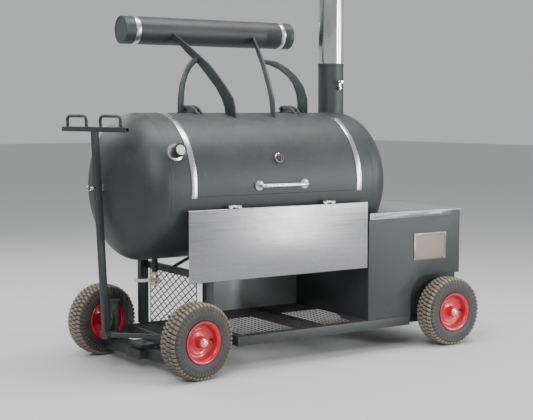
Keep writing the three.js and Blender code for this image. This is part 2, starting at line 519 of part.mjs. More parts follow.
door.add(part('firebox_air_slide', join(slide, rod([doorFace + 8, -78, doorLow + 75],
  [doorFace + 26, -78, doorLow + 75], 6, 12)), STEEL));
const LATCH_Y = -DOOR_WIDTH / 2 + 40;
const latch = join(rod([doorFace + 6.3, LATCH_Y, DOOR_Z + 40], [doorFace + 22, LATCH_Y, DOOR_Z + 40], 11, 14),
  bentRod([[doorFace + 17, LATCH_Y, DOOR_Z + 40], [doorFace + 45, LATCH_Y, DOOR_Z + 40],
    [doorFace + 45, LATCH_Y, DOOR_Z - 90]], 7, 12, 8, 8));
door.add(part('firebox_door_latch', latch, STEEL));

fixed.add(part('fire_grate', plateFromAbove([[360, -320], [960, -320], [960, 320], [360, 320]], 284, 294,
  slots(376, 944, -304, 304, 12, 14)), DARK));
const drawer = new THREE.Group();
drawer.add(part('ash_drawer', join(
  cut(block(420, BOX_RIGHT + 1, -190, 190, 200, 262), block(424, BOX_RIGHT - 4, -186, 186, 204, 300)),
  block(BOX_RIGHT + 0.5, BOX_RIGHT + 5, -215, 215, 190, 286),
  bentRod([[BOX_RIGHT + 3, -60, 238], [BOX_RIGHT + 36, -60, 238], [BOX_RIGHT + 36, 60, 238],
    [BOX_RIGHT + 3, 60, 238]], 5, 10, 12, 8)), BLACK));

// ---------------------------------------------------------------- deck, log bay and supports
const deckLow = DECK_TOP - RAIL;
const longRail = (x0, x1, y) => block(x0, x1, y - RAIL / 2, y + RAIL / 2, deckLow, DECK_TOP);
const crossRail = (x, half) => block(x, x + RAIL, -half, half, deckLow, DECK_TOP);
const wideRail = 355;
const neckRail = NECK_HALF - RAIL / 2;
const innerRail = 300;
const railParts = [-1, 1].flatMap((side) => [
  longRail(DECK_WIDE_LEFT, 614, side * wideRail),
  longRail(DECK_LEFT + RAIL - 1, DECK_WIDE_LEFT + 1, side * neckRail),
  longRail(613, 975, side * innerRail)]);
const stubHolders = [-1, 1].flatMap((side) => [
  block(AXLE_X - 40, AXLE_X + 40, ...[side * 324, side * 356].sort((a, b) => a - b), deckLow + 6, DECK_TOP - 4),
  block(AXLE_X - 40, AXLE_X + 40, ...[side * 347, side * 357].sort((a, b) => a - b), deckLow + 6, 236),
  rod([AXLE_X, side * 350, WHEEL_RADIUS], [AXLE_X, side * 486, WHEEL_RADIUS], 12, 16)]);
const turntable = cut(block(-935, -790, -75, 75, 118, deckLow + 1),
  rod([-AXLE_X, 0, 60], [-AXLE_X, 0, 160], 15, 16));
fixed.add(part('deck_frame', join(...railParts, crossRail(DECK_WIDE_LEFT, 378), crossRail(0, 340),
  crossRail(565, 378), crossRail(925, 310), crossRail(DECK_LEFT, NECK_HALF), ...stubHolders, turntable),
BLACK));

const diamonds = (x0, x1, y0, y1, wide, high, keep) => {
  const list = [];
  for (let row = 0; y0 + row * high / 2 <= y1; row += 1) {
    for (let x = x0 + (row % 2) * wide / 2; x <= x1; x += wide) {
      const y = y0 + row * high / 2;
      if (!keep || keep(x, y)) list.push([[x - wide * 0.38, y], [x, y - high * 0.38], [x + wide * 0.38, y],
        [x, y + high * 0.38]]);
    }
  }
  return list;
};
const neck = NECK_HALF - 4;
const deckOutline = [[DECK_LEFT + 6, -neck], [DECK_WIDE_LEFT + 4, -neck], [DECK_WIDE_LEFT + 4, -374],
  [BOX_LEFT - 1, -374], [BOX_LEFT - 1, 374], [DECK_WIDE_LEFT + 4, 374], [DECK_WIDE_LEFT + 4, neck],
  [DECK_LEFT + 6, neck]];
const overDeck = (x, y) => x > DECK_WIDE_LEFT + 110 || Math.abs(y) < 160;
fixed.add(part('deck_mesh_floor', plateFromAbove(deckOutline, DECK_TOP + GAP, DECK_TOP + 4,
  diamonds(-750, 220, -280, 280, 230, 190, overDeck)), DARK));

const LEG_REAR = [-779, -735, 222, 266];
const LEG_FRONT = [-672, -628, -300, -256];
const leg = ([x0, x1, y0, y1]) => block(x0, x1, y0, y1, DECK_TOP + 4.3, DRUM_Z - 150);
const tieZ = drumBottom - 81;
const drumSupport = cut(join(leg(LEG_REAR), leg(LEG_FRONT),
  block(-736, -700, -296, 262, tieZ, tieZ + 32), block(-702, -660, -296, -260, tieZ, tieZ + 32),
  bar([-715, 6, tieZ + 18], [-540, 6, tieZ + 96], 14, 14)), drumOutside);
fixed.add(part('drum_support', drumSupport, BLACK));
const meshWall = plateFromEnd([[-252, DECK_TOP + 4.4], [262, DECK_TOP + 4.4], [262, tieZ - 0.4],
  [-252, tieZ - 0.4]],
  -704, -700, diamonds(-200, 215, DECK_TOP + 55, tieZ - 48, 82, 102));
fixed.add(part('log_bay_mesh', meshWall, DARK));
fixed.add(part('log_bay_back', block(-265, BOX_LEFT - GAP, 322, 325, DECK_TOP + 4.3, drumBottom - 29), STEEL));

// ---------------------------------------------------------------- steered front axle and drawbar
const steering = new THREE.Group();
steering.position.set(-AXLE_X, 0, 0);
steering.rotation.z = rad(STEER);
const beam = block(-45, 45, -330, 330, 50, 106);
const uprightAt = (side) => {
  const post = block(-25, 25, ...[side * 300, side * 330].sort((a, b) => a - b), 60, 312);
  const cap = block(-32, 32, ...[side * 292, side * 338].sort((a, b) => a - b), 308, 318);
  const gusset = plateFromEnd([[side * 302, 100], [side * 268, 108], [side * 302, 280]], -4, 4);
  const stub = rod([0, side * 320, WHEEL_RADIUS], [0, side * 486, WHEEL_RADIUS], 12, 16);
  const yoke = bar([-24, side * 308, PIVOT_Z], [PIVOT_X + 14, side * 26, PIVOT_Z], 22, 22);
  return join(post, cap, gusset, stub, yoke);
};
const pivotEars = [-1, 1].map((side) => block(PIVOT_X - 16, PIVOT_X + 34,
  ...[side * 17, side * 27].sort((a, b) => a - b), PIVOT_Z - 16, PIVOT_Z + 16));
const pivotBolt = rod([PIVOT_X, -34, PIVOT_Z], [PIVOT_X, 34, PIVOT_Z], 7, 14);
const kingpin = join(rod([0, 0, 104], [0, 0, 117.6], 70, 28), rod([0, 0, 100], [0, 0, 129], 14, 16));
steering.add(part('steering_axle', join(beam, uprightAt(1), uprightAt(-1), ...pivotEars, pivotBolt, kingpin,
  block(-90, 46, -60, 60, 56, 100)), BLACK));

const drawbar = new THREE.Group();
drawbar.position.set(PIVOT_X, 0, PIVOT_Z);
drawbar.rotation.y = -rad(DRAWBAR_LEAN);
const lockZ = DRUM_Z + 6;
const LOCK_UP = lockZ - PIVOT_Z; // height of the lock pin above the pivot
const mast = cut(block(-15, 15, -15, 15, -22, DRAWBAR_LENGTH - 12), block(-12, 12, -12, 12, 30, DRAWBAR_LENGTH),
  rod([0, -40, 0], [0, 40, 0], 7.5, 14), rod([-40, 0, LOCK_UP], [40, 0, LOCK_UP], 5.6, 12));
drawbar.add(part('drawbar', mast, BLACK));
const crossbar = squareTube([-12.5, -CROSSBAR_LENGTH / 2, DRAWBAR_LENGTH - 11.7],
  [12.5, CROSSBAR_LENGTH / 2, DRAWBAR_LENGTH + 13], true);
const gripAt = (y) => bentRod([[0, y - 88, DRAWBAR_LENGTH + 10.5], [0, y - 88, DRAWBAR_LENGTH + 66],
  [0, y + 88, DRAWBAR_LENGTH + 66], [0, y + 88, DRAWBAR_LENGTH + 10.5]], 6, 26, 14, 6);
drawbar.add(part('drawbar_crossbar', join(crossbar, gripAt(-144), gripAt(160)), BLACK));
const lockPin = join(rod([-40, 0, LOCK_UP], [13, 0, LOCK_UP], 5, 12), rod([-34, 0, LOCK_UP], [-26, 0, LOCK_UP],
  9, 14), cut(rod([-52, -2, LOCK_UP], [-52, 2, LOCK_UP], 15, 20), rod([-52, -5, LOCK_UP], [-52, 5, LOCK_UP],
  11, 20)));
drawbar.add(part('drawbar_lock_pin', lockPin, CHROME));
steering.add(drawbar);

const keeperPlace = new THREE.Group();
keeperPlace.position.set(-AXLE_X, 0, 0);
keeperPlace.rotation.z = rad(STEER);
const drumSeenFromKeeper = drumOutside.translate([AXLE_X, 0, 0]).rotate([0, 0, -STEER]);
keeperPlace.add(part('drawbar_keeper', cut(block(-277.5, -220, -14, 14, lockZ - 16, lockZ + 16), drumSeenFromKeeper,
  rod([-290, 0, lockZ + 1], [-240, 0, lockZ - 2], 7, 12)), STEEL));

// ---------------------------------------------------------------- wheels
const TYRE = [[-46, 104], [-60, 125], [-60, 158], [-44, 187], [-16, 195], [16, 195], [44, 187],
  [60, 158], [60, 125], [46, 104], [38, 112], [42, 160], [0, 178], [-42, 160], [-38, 112], [-46, 104]];
const RIM = [[72, 0], [70, 15], [60, 27], [14, 28], [20, 95], [58, 97], [58, 106], [52, 100.5],
  [-52, 100.5], [-58, 106], [-58, 97], [10, 94], [4, 28], [-60, 27], [-60, 12.6], [62, 12.6], [62, 0]];
const WHEEL_SIDES = 16;
function turnedWheel(profile, side) {
  const flatDown = WHEEL_RADIUS / Math.cos(Math.PI / WHEEL_SIDES) / WHEEL_RADIUS;
  const lathe = new THREE.LatheGeometry(profile.map(([a, r]) => new THREE.Vector2(r * flatDown, a)),
    WHEEL_SIDES, Math.PI / WHEEL_SIDES, Math.PI * 2);
  if (side < 0) lathe.rotateX(Math.PI);
  return solid(lathe);
}
function wheelAt(x, side, word) {
  const wheel = new THREE.Group();
  wheel.position.set(x, side * TRACK_HALF, WHEEL_RADIUS);
  wheel.add(part('tyre_' + word, turnedWheel(TYRE, side), RUBBER));
  wheel.add(part('rim_' + word, turnedWheel(RIM, side), RED));
  return wheel;
}
steering.add(wheelAt(0, -1, 'left_front'), wheelAt(0, 1, 'left_rear'));

const smoker = new THREE.Group();
smoker.name = 'offset_smoker';
smoker.position.x = MIDDLE_SHIFT;
smoker.add(fixed, lid, damper, drainLever, shelf, door, drawer, steering, keeperPlace,
  wheelAt(AXLE_X, -1, 'right_front'), wheelAt(AXLE_X, 1, 'right_rear'));
export default smoker;
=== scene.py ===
import math

import bpy
from mathutils import Matrix, Vector


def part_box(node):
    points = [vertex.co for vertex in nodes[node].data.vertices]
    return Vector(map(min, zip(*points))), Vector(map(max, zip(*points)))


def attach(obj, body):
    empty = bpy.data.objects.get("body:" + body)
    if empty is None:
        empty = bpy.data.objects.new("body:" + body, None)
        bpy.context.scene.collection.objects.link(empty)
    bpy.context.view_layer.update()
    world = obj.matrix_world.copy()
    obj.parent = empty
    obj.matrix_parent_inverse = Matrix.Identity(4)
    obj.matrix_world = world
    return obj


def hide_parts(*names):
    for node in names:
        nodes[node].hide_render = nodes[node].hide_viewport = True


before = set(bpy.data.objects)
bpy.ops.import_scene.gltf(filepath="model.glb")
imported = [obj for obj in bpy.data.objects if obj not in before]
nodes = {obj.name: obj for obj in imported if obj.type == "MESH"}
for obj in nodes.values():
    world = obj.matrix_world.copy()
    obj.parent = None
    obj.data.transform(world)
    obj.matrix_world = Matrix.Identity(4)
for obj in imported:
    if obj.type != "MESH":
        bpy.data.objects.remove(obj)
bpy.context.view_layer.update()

# ---------------------------------------------------------------- sizes, in metres
MIDDLE = 0.08398  # X of the point halfway between the axles
DRUM_RADIUS = 0.381
DRUM_WALL = 0.006
DRUM_Z = 0.950
DRUM_LEFT, DRUM_RIGHT = MIDDLE - 0.920, MIDDLE + 0.355
DOME_DEPTH = 0.203
LID_X = MIDDLE - 0.270
LID_LEFT, LID_RIGHT = LID_X - 0.515, LID_X + 0.515
LID_LOW, LID_HIGH = math.radians(-5.6), math.radians(95.5)
LID_GAP = 0.0016
TUBE_RADIUS, TUBE_HALF, TUBE_Y, TUBE_Z = 0.0765, 0.547, 0.366, 1.781
STACK_X, STACK_RADIUS = MIDDLE + 0.330, 0.072
STACK_JOINT_Z, STACK_TOP_Z, DAMPER_Z = 1.609, 2.15, 1.469
VALVE_X, VALVE_Z = MIDDLE - 0.812, 0.460
SHELF_TOP, SHELF_HEIGHT, SHELF_FACE, SHELF_BACK = 0.846, 0.366, -0.402, -0.386
SHELF_HINGES = (MIDDLE - 0.560, MIDDLE + 0.031)
HANDLE_LEFT, HANDLE_RIGHT, HANDLE_Z = LID_X - 0.134, LID_X + 0.150, 0.958
FLOOR_Z, FLOOR_CELL, FLOOR_STRAND = 0.1821, (0.066, 0.034), 0.0085
BAY_CELL, BAY_STRAND, MESH_SHEET = (0.068, 0.042), 0.0105, 0.0036
PLATE_FACE, PLATE_Z = -0.3835, 0.571
TREAD_BLOCKS = 50  # round one tyre, in each of its four rows
WHEEL_RADIUS, TRACK_HALF = 0.195, 0.425
AXLE_LEFT, AXLE_RIGHT = MIDDLE - 0.861, MIDDLE + 0.861
STEER = math.radians(8.46)
LEAN = math.radians(3)
STEERING = Matrix.Translation((AXLE_LEFT, 0, 0)) @ Matrix.Rotation(STEER, 4, "Z")
DRAWBAR = STEERING @ Matrix.Translation((-0.256, 0, 0.2)) @ Matrix.Rotation(-LEAN, 4, "Y")


# ---------------------------------------------------------------- camera, floor and light
def look():
    """Long-lens camera at breast height, off the front left corner."""
    bpy.ops.object.camera_add(location=(-3.556, -5.414, 1.341))
    camera = bpy.context.object
    camera.rotation_euler = (math.radians(85.13), 0, math.radians(-33.11))
    camera.data.lens = 78.6
    camera.data.sensor_width = 36
    bpy.context.scene.camera = camera


def soft_light(name, where, towards, size, power):
    """Rectangular lamp aimed at a point, in watts."""
    bpy.ops.object.light_add(type="AREA", location=where)
    lamp = bpy.context.object
    lamp.name = name
    lamp.data.shape = "RECTANGLE"
    lamp.data.size, lamp.data.size_y = size
    lamp.data.energy = power
    lamp.rotation_euler = (Vector(towards) - Vector(where)).to_track_quat("-Z", "Y").to_euler()


# ---------------------------------------------------------------- modelling by hand
def deselect():
    """Object mode with nothing selected."""
    if bpy.context.object and bpy.context.object.mode != "OBJECT":
        bpy.ops.object.mode_set(mode="OBJECT")
    bpy.ops.object.select_all(action="DESELECT")


def only(piece):
    """Object mode with this piece alone selected and active."""
    deselect()
    piece.select_set(True)
    bpy.context.view_layer.objects.active = piece


def edit(piece, kind="VERT"):
    """Edit mode on one piece with everything in it selected."""
    only(piece)
    bpy.ops.object.mode_set(mode="EDIT")
    bpy.ops.mesh.select_mode(type=kind)
    bpy.ops.mesh.select_all(action="SELECT")


def pick_faces(piece, wanted):
    """Edit mode with the faces selected whose centre and normal pass the test."""
    edit(piece, "FACE")
    bpy.ops.mesh.select_all(action="DESELECT")
    bpy.ops.object.mode_set(mode="OBJECT")
    for face in piece.data.polygons:
        face.select = wanted(face.center, face.normal)
    bpy.ops.object.mode_set(mode="EDIT")


def line(name, points):
    """A chain of edges, drawn vertex by vertex."""
    deselect()
    points = [Vector(p) for p in points]
    bpy.ops.mesh.primitive_plane_add(size=0.001, location=points[0])
    piece = bpy.context.object
    piece.name = name
    edit(piece)
    bpy.ops.mesh.merge(type="CENTER")
    for a, b in zip(points, points[1:]):
        bpy.ops.mesh.extrude_region_move(TRANSFORM_OT_translate={"value": b - a})
    return piece


def settle(piece, move=None):
    """Puts the piece's place into its mesh, so its object sits at the origin."""
    only(piece)
    if move is not None:
        piece.matrix_world = move @ piece.matrix_world
    bpy.ops.object.transform_apply(location=True, rotation=True, scale=True)
    return piece


def facing(at, towards):
    """The move that puts a piece at a point with its Z axis turned along a direction."""
    return Matrix.Translation(at) @ Vector(towards).to_track_quat("Z", "Y").to_matrix().to_4x4()


def tidy_mesh(piece, close=0.00001):
    """Merges corners that meet and turns every face outwards."""
    edit(piece)
    bpy.ops.mesh.remove_doubles(threshold=close)
    bpy.ops.mesh.normals_make_consistent(inside=False)
    bpy.ops.object.mode_set(mode="OBJECT")


def smooth(piece, degrees=32):
    """Smooth shading across edges flatter than the angle."""
    only(piece)
    bpy.ops.object.shade_smooth_by_angle(angle=math.radians(degrees))
    return piece


def apply(piece, kind, **values):
    """Adds one modifier with these settings and applies it."""
    only(piece)
    change = piece.modifiers.new(kind.title(), kind)
    for name, value in values.items():
        setattr(change, name, value)
    bpy.ops.object.modifier_apply(modifier=change.name)


def soften(piece, width=0.001, steps=2, degrees=32):
    """Rounds the sharp edges."""
    apply(piece, "BEVEL", width=width, segments=steps, limit_method="ANGLE",
          angle_limit=math.radians(degrees))
    return smooth(piece, degrees)


def turned(name, profile, at=(0, 0, 0), towards=(0, 0, 1), sides=64, closed=False, edge=32):
    """Solid of revolution; the profile is (radius, distance along the axis)."""
    points = list(profile) + ([profile[0]] if closed else [])
    piece = line(name, [(r, 0, h) for r, h in points])
    bpy.ops.mesh.select_all(action="SELECT")
    bpy.ops.mesh.spin(steps=sides, angle=math.tau, center=(0, 0, 0), axis=(0, 0, 1))
    settle(piece)
    tidy_mesh(piece)
    settle(piece, facing(at, towards))
    return smooth(piece, edge)


def bent_bar(name, points, radius, bend, steps=8, section=6, twist=0.0, square=False):
    """Bar along a path whose corners are rounded; `twist` turns a square section, per metre."""
    points = [Vector(p) for p in points]
    path = [points[0]]
    for before, corner, after in zip(points, points[1:], points[2:]):
        a = corner + (before - corner).normalized() * bend
        b = corner + (after - corner).normalized() * bend
        path += [a.lerp(corner, t).lerp(corner.lerp(b, t), t) for t in
                 [k / steps for k in range(steps + 1)]]
    path.append(points[-1])
    if twist:
        fine = []
        for a, b in zip(path, path[1:]):
            count = max(1, round((b - a).length / 0.004))
            fine += [a.lerp(b, k / count) for k in range(count)]
        path = fine + [path[-1]]
    deselect()
    bpy.ops.curve.primitive_nurbs_path_add(location=(0, 0, 0))
    piece = bpy.context.object
    piece.name = name
    curve = piece.data
    curve.splines.clear()
    spline = curve.splines.new("POLY")
    spline.points.add(len(path) - 1)
    run = 0.0
    for k, spot in enumerate(path):
        run += (spot - path[k - 1]).length if k else 0.0
        spline.points[k].co = (*spot, 1)
        spline.points[k].tilt = run * twist
    curve.dimensions = "3D"
    curve.use_fill_caps = True
    curve.twist_mode = "MINIMUM"
    curve.bevel_depth = radius
    curve.bevel_resolution = 0 if square else section
    only(piece)
    bpy.ops.object.convert(target="MESH")
    tidy_mesh(piece)
    return smooth(piece, 50)


def joined(first, *others):
    """One piece made of several, under the first one's name."""
    deselect()
    for piece in (first, *others):
        piece.select_set(True)
    bpy.context.view_layer.objects.active = first
    bpy.ops.object.join()
    return first


def box(name, low, high, edge=0.001):
    """Plate or block with softened edges."""
    deselect()
    low, high = Vector(low), Vector(high)
    bpy.ops.mesh.primitive_cube_add(size=1, location=(low + high) / 2)
    piece = bpy.context.object
    piece.name = name
    piece.scale = high - low
    settle(piece)
    return soften(piece, edge)


def hex_head(name, at, towards, across=0.013, height=0.006):
    """Bolt head with a chamfered rim and a washer under it."""
    deselect()
    bpy.ops.mesh.primitive_cylinder_add(vertices=6, radius=across / 1.732, depth=height,
                                        location=(0, 0, height / 2 + 0.0015))
    head = bpy.context.object
    settle(head)
    soften(head, height * 0.12)
    washer = turned(name + "_washer", [(0, 0), (across * 0.78, 0), (across * 0.8, 0.0004),
                                       (across * 0.78, 0.0014), (0, 0.0015)], sides=24)
    piece = joined(head, washer)
    piece.name = name
    return settle(piece, facing(at, towards))


def copied(piece, name, move=None):
    """A copy with its own mesh, moved into place."""
    twin = piece.copy()
    twin.data = piece.data.copy()
    twin.name = name
    bpy.context.scene.collection.objects.link(twin)
    return settle(twin, move)


def refined(node, edge=0.001, degrees=32):
    """A copy of a frame node with its flats merged and its sharp edges softened."""
    piece = bpy.data.objects.new(node + "_finish", nodes[node].data.copy())
    bpy.context.scene.collection.objects.link(piece)
    piece.data.materials.clear()
    edit(piece)
    bpy.ops.mesh.remove_doubles(threshold=0.00002)
    bpy.ops.mesh.dissolve_limited(angle_limit=math.radians(0.5))
    bpy.ops.object.mode_set(mode="OBJECT")
    if edge:
        apply(piece, "BEVEL", width=edge, segments=2, limit_method="ANGLE",
              angle_limit=math.radians(degrees))
    return smooth(piece, degrees)


def cut_with(piece, tool):
    """Takes the tool's shape out of the piece and removes the tool."""
    apply(piece, "BOOLEAN", operation="DIFFERENCE", object=tool, solver="EXACT")
    bpy.data.objects.remove(tool)


def fit(piece, body, material, slot, *replaced):
    """Paints a piece, puts it under its body's empty and hides the nodes it stands for."""
    piece.data.materials.clear()
    piece.data.materials.append(material)
    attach(piece, body)
    if replaced:
        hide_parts(*replaced)
    return piece


# ---------------------------------------------------------------- finishes
def new_group(name, inputs, outputs):
    """An empty node group with its sockets: (name, default) and (name, kind)."""
    tree = bpy.data.node_groups.new(name, "ShaderNodeTree")
    for label, value in inputs:
        socket = tree.interface.new_socket(name=label, in_out="INPUT", socket_type="NodeSocketFloat")
        socket.default_value = value
    for label, kind in outputs:
        tree.interface.new_socket(name=label, in_out="OUTPUT", socket_type=kind)
    return tree, tree.nodes.new("NodeGroupInput"), tree.nodes.new("NodeGroupOutput")


def add(tree, kind, **values):
    """One shader node, with its settings and its inputs set by name or number."""
    node = tree.nodes.new(kind)
    for key, value in values.items():
        if key == "sockets":
            for name, source in value.items():
                if isinstance(source, bpy.types.NodeSocket):
                    tree.links.new(source, node.inputs[name])
                else:
                    node.inputs[name].default_value = source
        else:
            setattr(node, key, value)
    return node


def number(tree, operation, a, b=0.0, clamp=False):
    return add(tree, "ShaderNodeMath", operation=operation, use_clamp=clamp,
               sockets={0: a, 1: b}).outputs[0]


def spread(tree, value, low, high, to_low=0.0, to_high=1.0):
    return add(tree, "ShaderNodeMapRange", sockets={
        "Value": value, "From Min": low, "From Max": high,
        "To Min": to_low, "To Max": to_high}).outputs["Result"]


def noise(tree, spot, scale, detail=3.0, rough=0.5):
    return add(tree, "ShaderNodeTexNoise", sockets={
        "Vector": spot, "Scale": scale, "Detail": detail, "Roughness": rough}).outputs["Fac"]


def make_grain_group():
    """Fine sprayed grain and broad, soft unevenness."""
    tree, inside, out = new_group("sprayed_grain", [("Grain scale", 700.0), ("Patch scale", 3.0)],
                                  [("Grain", "NodeSocketFloat"), ("Patches", "NodeSocketFloat")])
    spot = add(tree, "ShaderNodeTexCoord").outputs["Object"]
    fine = noise(tree, spot, inside.outputs["Grain scale"], 2.0, 0.6)
    broad = noise(tree, spot, inside.outputs["Patch scale"], 4.0, 0.6)
    tree.links.new(fine, out.inputs["Grain"])
    tree.links.new(broad, out.inputs["Patches"])
    return tree


def make_dust_group():
    """Dust that has settled on what faces up, broken up by noise, and spots of dirt."""
    tree, inside, out = new_group("settled_dust", [("Amount", 0.3), ("Scale", 14.0)],
                                  [("Dust", "NodeSocketFloat"), ("Spots", "NodeSocketFloat")])
    spot = add(tree, "ShaderNodeTexCoord").outputs["Object"]
    facing = add(tree, "ShaderNodeSeparateXYZ", sockets={
        0: add(tree, "ShaderNodeNewGeometry").outputs["Normal"]}).outputs["Z"]
    upward = spread(tree, facing, 0.2, 1.0)
    broken = spread(tree, noise(tree, spot, inside.outputs["Scale"], 6.0, 0.7), 0.35, 0.7)
    dust = number(tree, "MULTIPLY", number(tree, "MULTIPLY", upward, broken),
                  inside.outputs["Amount"], True)
    spots = spread(tree, noise(tree, spot, 90.0, 2.0, 0.4), 0.68, 0.74)
    tree.links.new(dust, out.inputs["Dust"])
    tree.links.new(number(tree, "MULTIPLY", spots, inside.outputs["Amount"], True),
                   out.inputs["Spots"])
    return tree


def make_brushed_group():
    """Long fine scratches along one axis, with smudges; the stretches set the direction."""
    tree, inside, out = new_group("brushed_lines", [("Along X", 1.0), ("Along Y", 1.0),
                                                    ("Along Z", 1.0)],
                                  [("Lines", "NodeSocketFloat"), ("Smudges", "NodeSocketFloat")])
    spot = add(tree, "ShaderNodeTexCoord").outputs["Object"]
    scale = add(tree, "ShaderNodeCombineXYZ", sockets={
        0: inside.outputs["Along X"], 1: inside.outputs["Along Y"], 2: inside.outputs["Along Z"]})
    stretched = add(tree, "ShaderNodeVectorMath", operation="MULTIPLY",
                    sockets={0: spot, 1: scale.outputs[0]}).outputs[0]
    lines = noise(tree, stretched, 1.0, 5.0, 0.65)
    smudges = spread(tree, noise(tree, spot, 9.0, 4.0, 0.6), 0.4, 0.7)
    tree.links.new(lines, out.inputs["Lines"])
    tree.links.new(smudges, out.inputs["Smudges"])
    return tree


GRAIN, DUST, BRUSHED = make_grain_group(), make_dust_group(), make_brushed_group()


def use(tree, group, **values):
    node = tree.nodes.new("ShaderNodeGroup")
    node.node_tree = group
    for name, value in values.items():
        node.inputs[name.replace("_", " ")].default_value = value
    return node


def new_finish(name, **fixed):
    """A material with its Principled shader; `fixed` are values that are even all over."""
    material = bpy.data.materials.new(name)
    material.use_nodes = True
    shader = material.node_tree.nodes["Principled BSDF"]
    for key, value in fixed.items():
        shader.inputs[key.replace("_", " ")].default_value = value
    return material, material.node_tree, shader


def mix(tree, amount, a, b):
    node = add(tree, "ShaderNodeMix", data_type="RGBA")
    for socket, value in ((node.inputs[0], amount), (node.inputs[6], a), (node.inputs[7], b)):
        if isinstance(value, bpy.types.NodeSocket):
            tree.links.new(value, socket)
        else:
            socket.default_value = (*value, 1) if isinstance(value, tuple) else value
    return node.outputs[2]


def bump(tree, shader, height, strength, distance):
    node = add(tree, "ShaderNodeBump", sockets={"Height": height, "Strength": strength,
                                                "Distance": distance})
    tree.links.new(node.outputs[0], shader.inputs["Normal"])


def paint_finish(name, dark, light, rough, grain=700.0, grain_depth=0.35, dust=0.2,
                 dust_colour=(0.2, 0.19, 0.17), **fixed):
    """Sprayed paint, rubber or plastic: two shades, a grain and settled dust."""
    material, tree, shader = new_finish(name, **fixed)
    surface = use(tree, GRAIN, Grain_scale=grain)
    settled = use(tree, DUST, Amount=dust)
    patches = spread(tree, surface.outputs["Patches"], 0.3, 0.7)
    colour = mix(tree, patches, dark, light)
    colour = mix(tree, settled.outputs["Dust"], colour, dust_colour)
    colour = mix(tree, settled.outputs["Spots"], colour, dust_colour)
    tree.links.new(colour, shader.inputs["Base Color"])
    roughness = number(tree, "ADD", spread(tree, patches, 0, 1, rough - 0.05, rough + 0.06),
                       number(tree, "MULTIPLY", settled.outputs["Dust"], 0.25), True)
    tree.links.new(roughness, shader.inputs["Roughness"])
    bump(tree, shader, surface.outputs["Grain"], grain_depth, 0.0008)
    return material


def steel_finish(name, dark, light, rough, along, smear=0.12, depth=0.1, **fixed):
    """Bare metal with fine lines; `along` is how tightly they repeat on each axis."""
    material, tree, shader = new_finish(name, Metallic=1.0, **fixed)
    lines = use(tree, BRUSHED, Along_X=along[0], Along_Y=along[1], Along_Z=along[2])
    colour = mix(tree, spread(tree, lines.outputs["Lines"], 0.3, 0.7), dark, light)
    tree.links.new(colour, shader.inputs["Base Color"])
    streaks = spread(tree, lines.outputs["Lines"], 0.3, 0.7, rough - 0.06, rough + 0.06)
    tree.links.new(number(tree, "ADD", streaks, number(
        tree, "MULTIPLY", lines.outputs["Smudges"], smear), True), shader.inputs["Roughness"])
    bump(tree, shader, lines.outputs["Lines"], depth, 0.0004)
    return material


BLACK = paint_finish("black_heat_paint", (0.019, 0.026, 0.026), (0.032, 0.042, 0.042), 0.48)
FRAME_BLACK = paint_finish("black_frame_paint", (0.017, 0.022, 0.022), (0.03, 0.038, 0.038), 0.46,
                           dust=0.35)
IRON = paint_finish("seasoned_iron", (0.02, 0.017, 0.015), (0.05, 0.042, 0.036), 0.55, grain=300.0,
                    grain_depth=0.6, dust=0.1, Metallic=0.6)
MESH_BLACK = paint_finish("mesh_paint", (0.014, 0.016, 0.016), (0.03, 0.032, 0.031), 0.5, dust=0.3)
RED = paint_finish("red_wheel_paint", (0.48, 0.006, 0.018), (0.62, 0.012, 0.03), 0.28, grain=60.0,
                   grain_depth=0.04, dust=0.25, dust_colour=(0.35, 0.22, 0.16), Coat_Weight=0.3)
SIDEWALL = paint_finish("tyre_sidewall", (0.02, 0.022, 0.021), (0.04, 0.042, 0.039), 0.55,
                        grain=220.0, grain_depth=0.5, dust=0.45, dust_colour=(0.16, 0.13, 0.1))
# Shoulder ribs lighter than the sidewall: partly settled dust, partly a painted highlight standing in for
# the light that catches the raised ribs.
RIBS_PAINTED_LIGHTER = paint_finish("tyre_ribs_painted_highlight", (0.06, 0.052, 0.042), (0.12, 0.1, 0.08), 0.75,
                        grain=220.0, grain_depth=0.5, dust=0.4, dust_colour=(0.3, 0.25, 0.18))
TREAD = paint_finish("dusty_tread", (0.14, 0.115, 0.085), (0.3, 0.25, 0.19), 0.9, grain=260.0,
                     grain_depth=0.8, dust=0.5, dust_colour=(0.42, 0.34, 0.25))
DARK_PLASTIC = paint_finish("black_gauge_body", (0.012, 0.012, 0.013), (0.022, 0.022, 0.024), 0.4,
                            grain=500.0, grain_depth=0.2, dust=0.15)
POINTER = paint_finish("red_enamel", (0.5, 0.03, 0.02), (0.62, 0.05, 0.035), 0.35, dust=0.05)
DIAL = paint_finish("pale_dial", (0.66, 0.66, 0.64), (0.75, 0.75, 0.73), 0.45, grain=200.0,
                    grain_depth=0.05, dust=0.1)
SLEEVE = paint_finish("pale_lever_sleeve", (0.7, 0.7, 0.68), (0.8, 0.8, 0.78), 0.45, grain=400.0,
                      grain_depth=0.2, dust=0.3)
SHELF_STEEL = steel_finish("brushed_shelf", (0.27, 0.27, 0.28), (0.36, 0.36, 0.37), 0.27,
                           (2.0, 900.0, 900.0), smear=0.03, Anisotropic=0.8)
STEEL = steel_finish("brushed_steel", (0.52, 0.53, 0.54), (0.68, 0.69, 0.7), 0.3,
                     (700.0, 60.0, 60.0))
STRAP_STEEL = steel_finish("strap_steel", (0.6, 0.61, 0.62), (0.76, 0.77, 0.78), 0.24,
                           (900.0, 14.0, 14.0))
PANEL_STEEL = steel_finish("grey_panel_steel", (0.36, 0.37, 0.38), (0.46, 0.47, 0.48), 0.42,
                           (3.0, 500.0, 500.0), smear=0.2)
BACK_STEEL = paint_finish("dull_grey_panel", (0.3, 0.305, 0.31), (0.38, 0.385, 0.39), 0.38,
                          grain=400.0, grain_depth=0.1, dust=0.2, Metallic=0.4)
CHROME = steel_finish("polished_steel", (0.7, 0.7, 0.7), (0.8, 0.8, 0.8), 0.1,
                      (200.0, 200.0, 8.0), smear=0.06, depth=0.02)
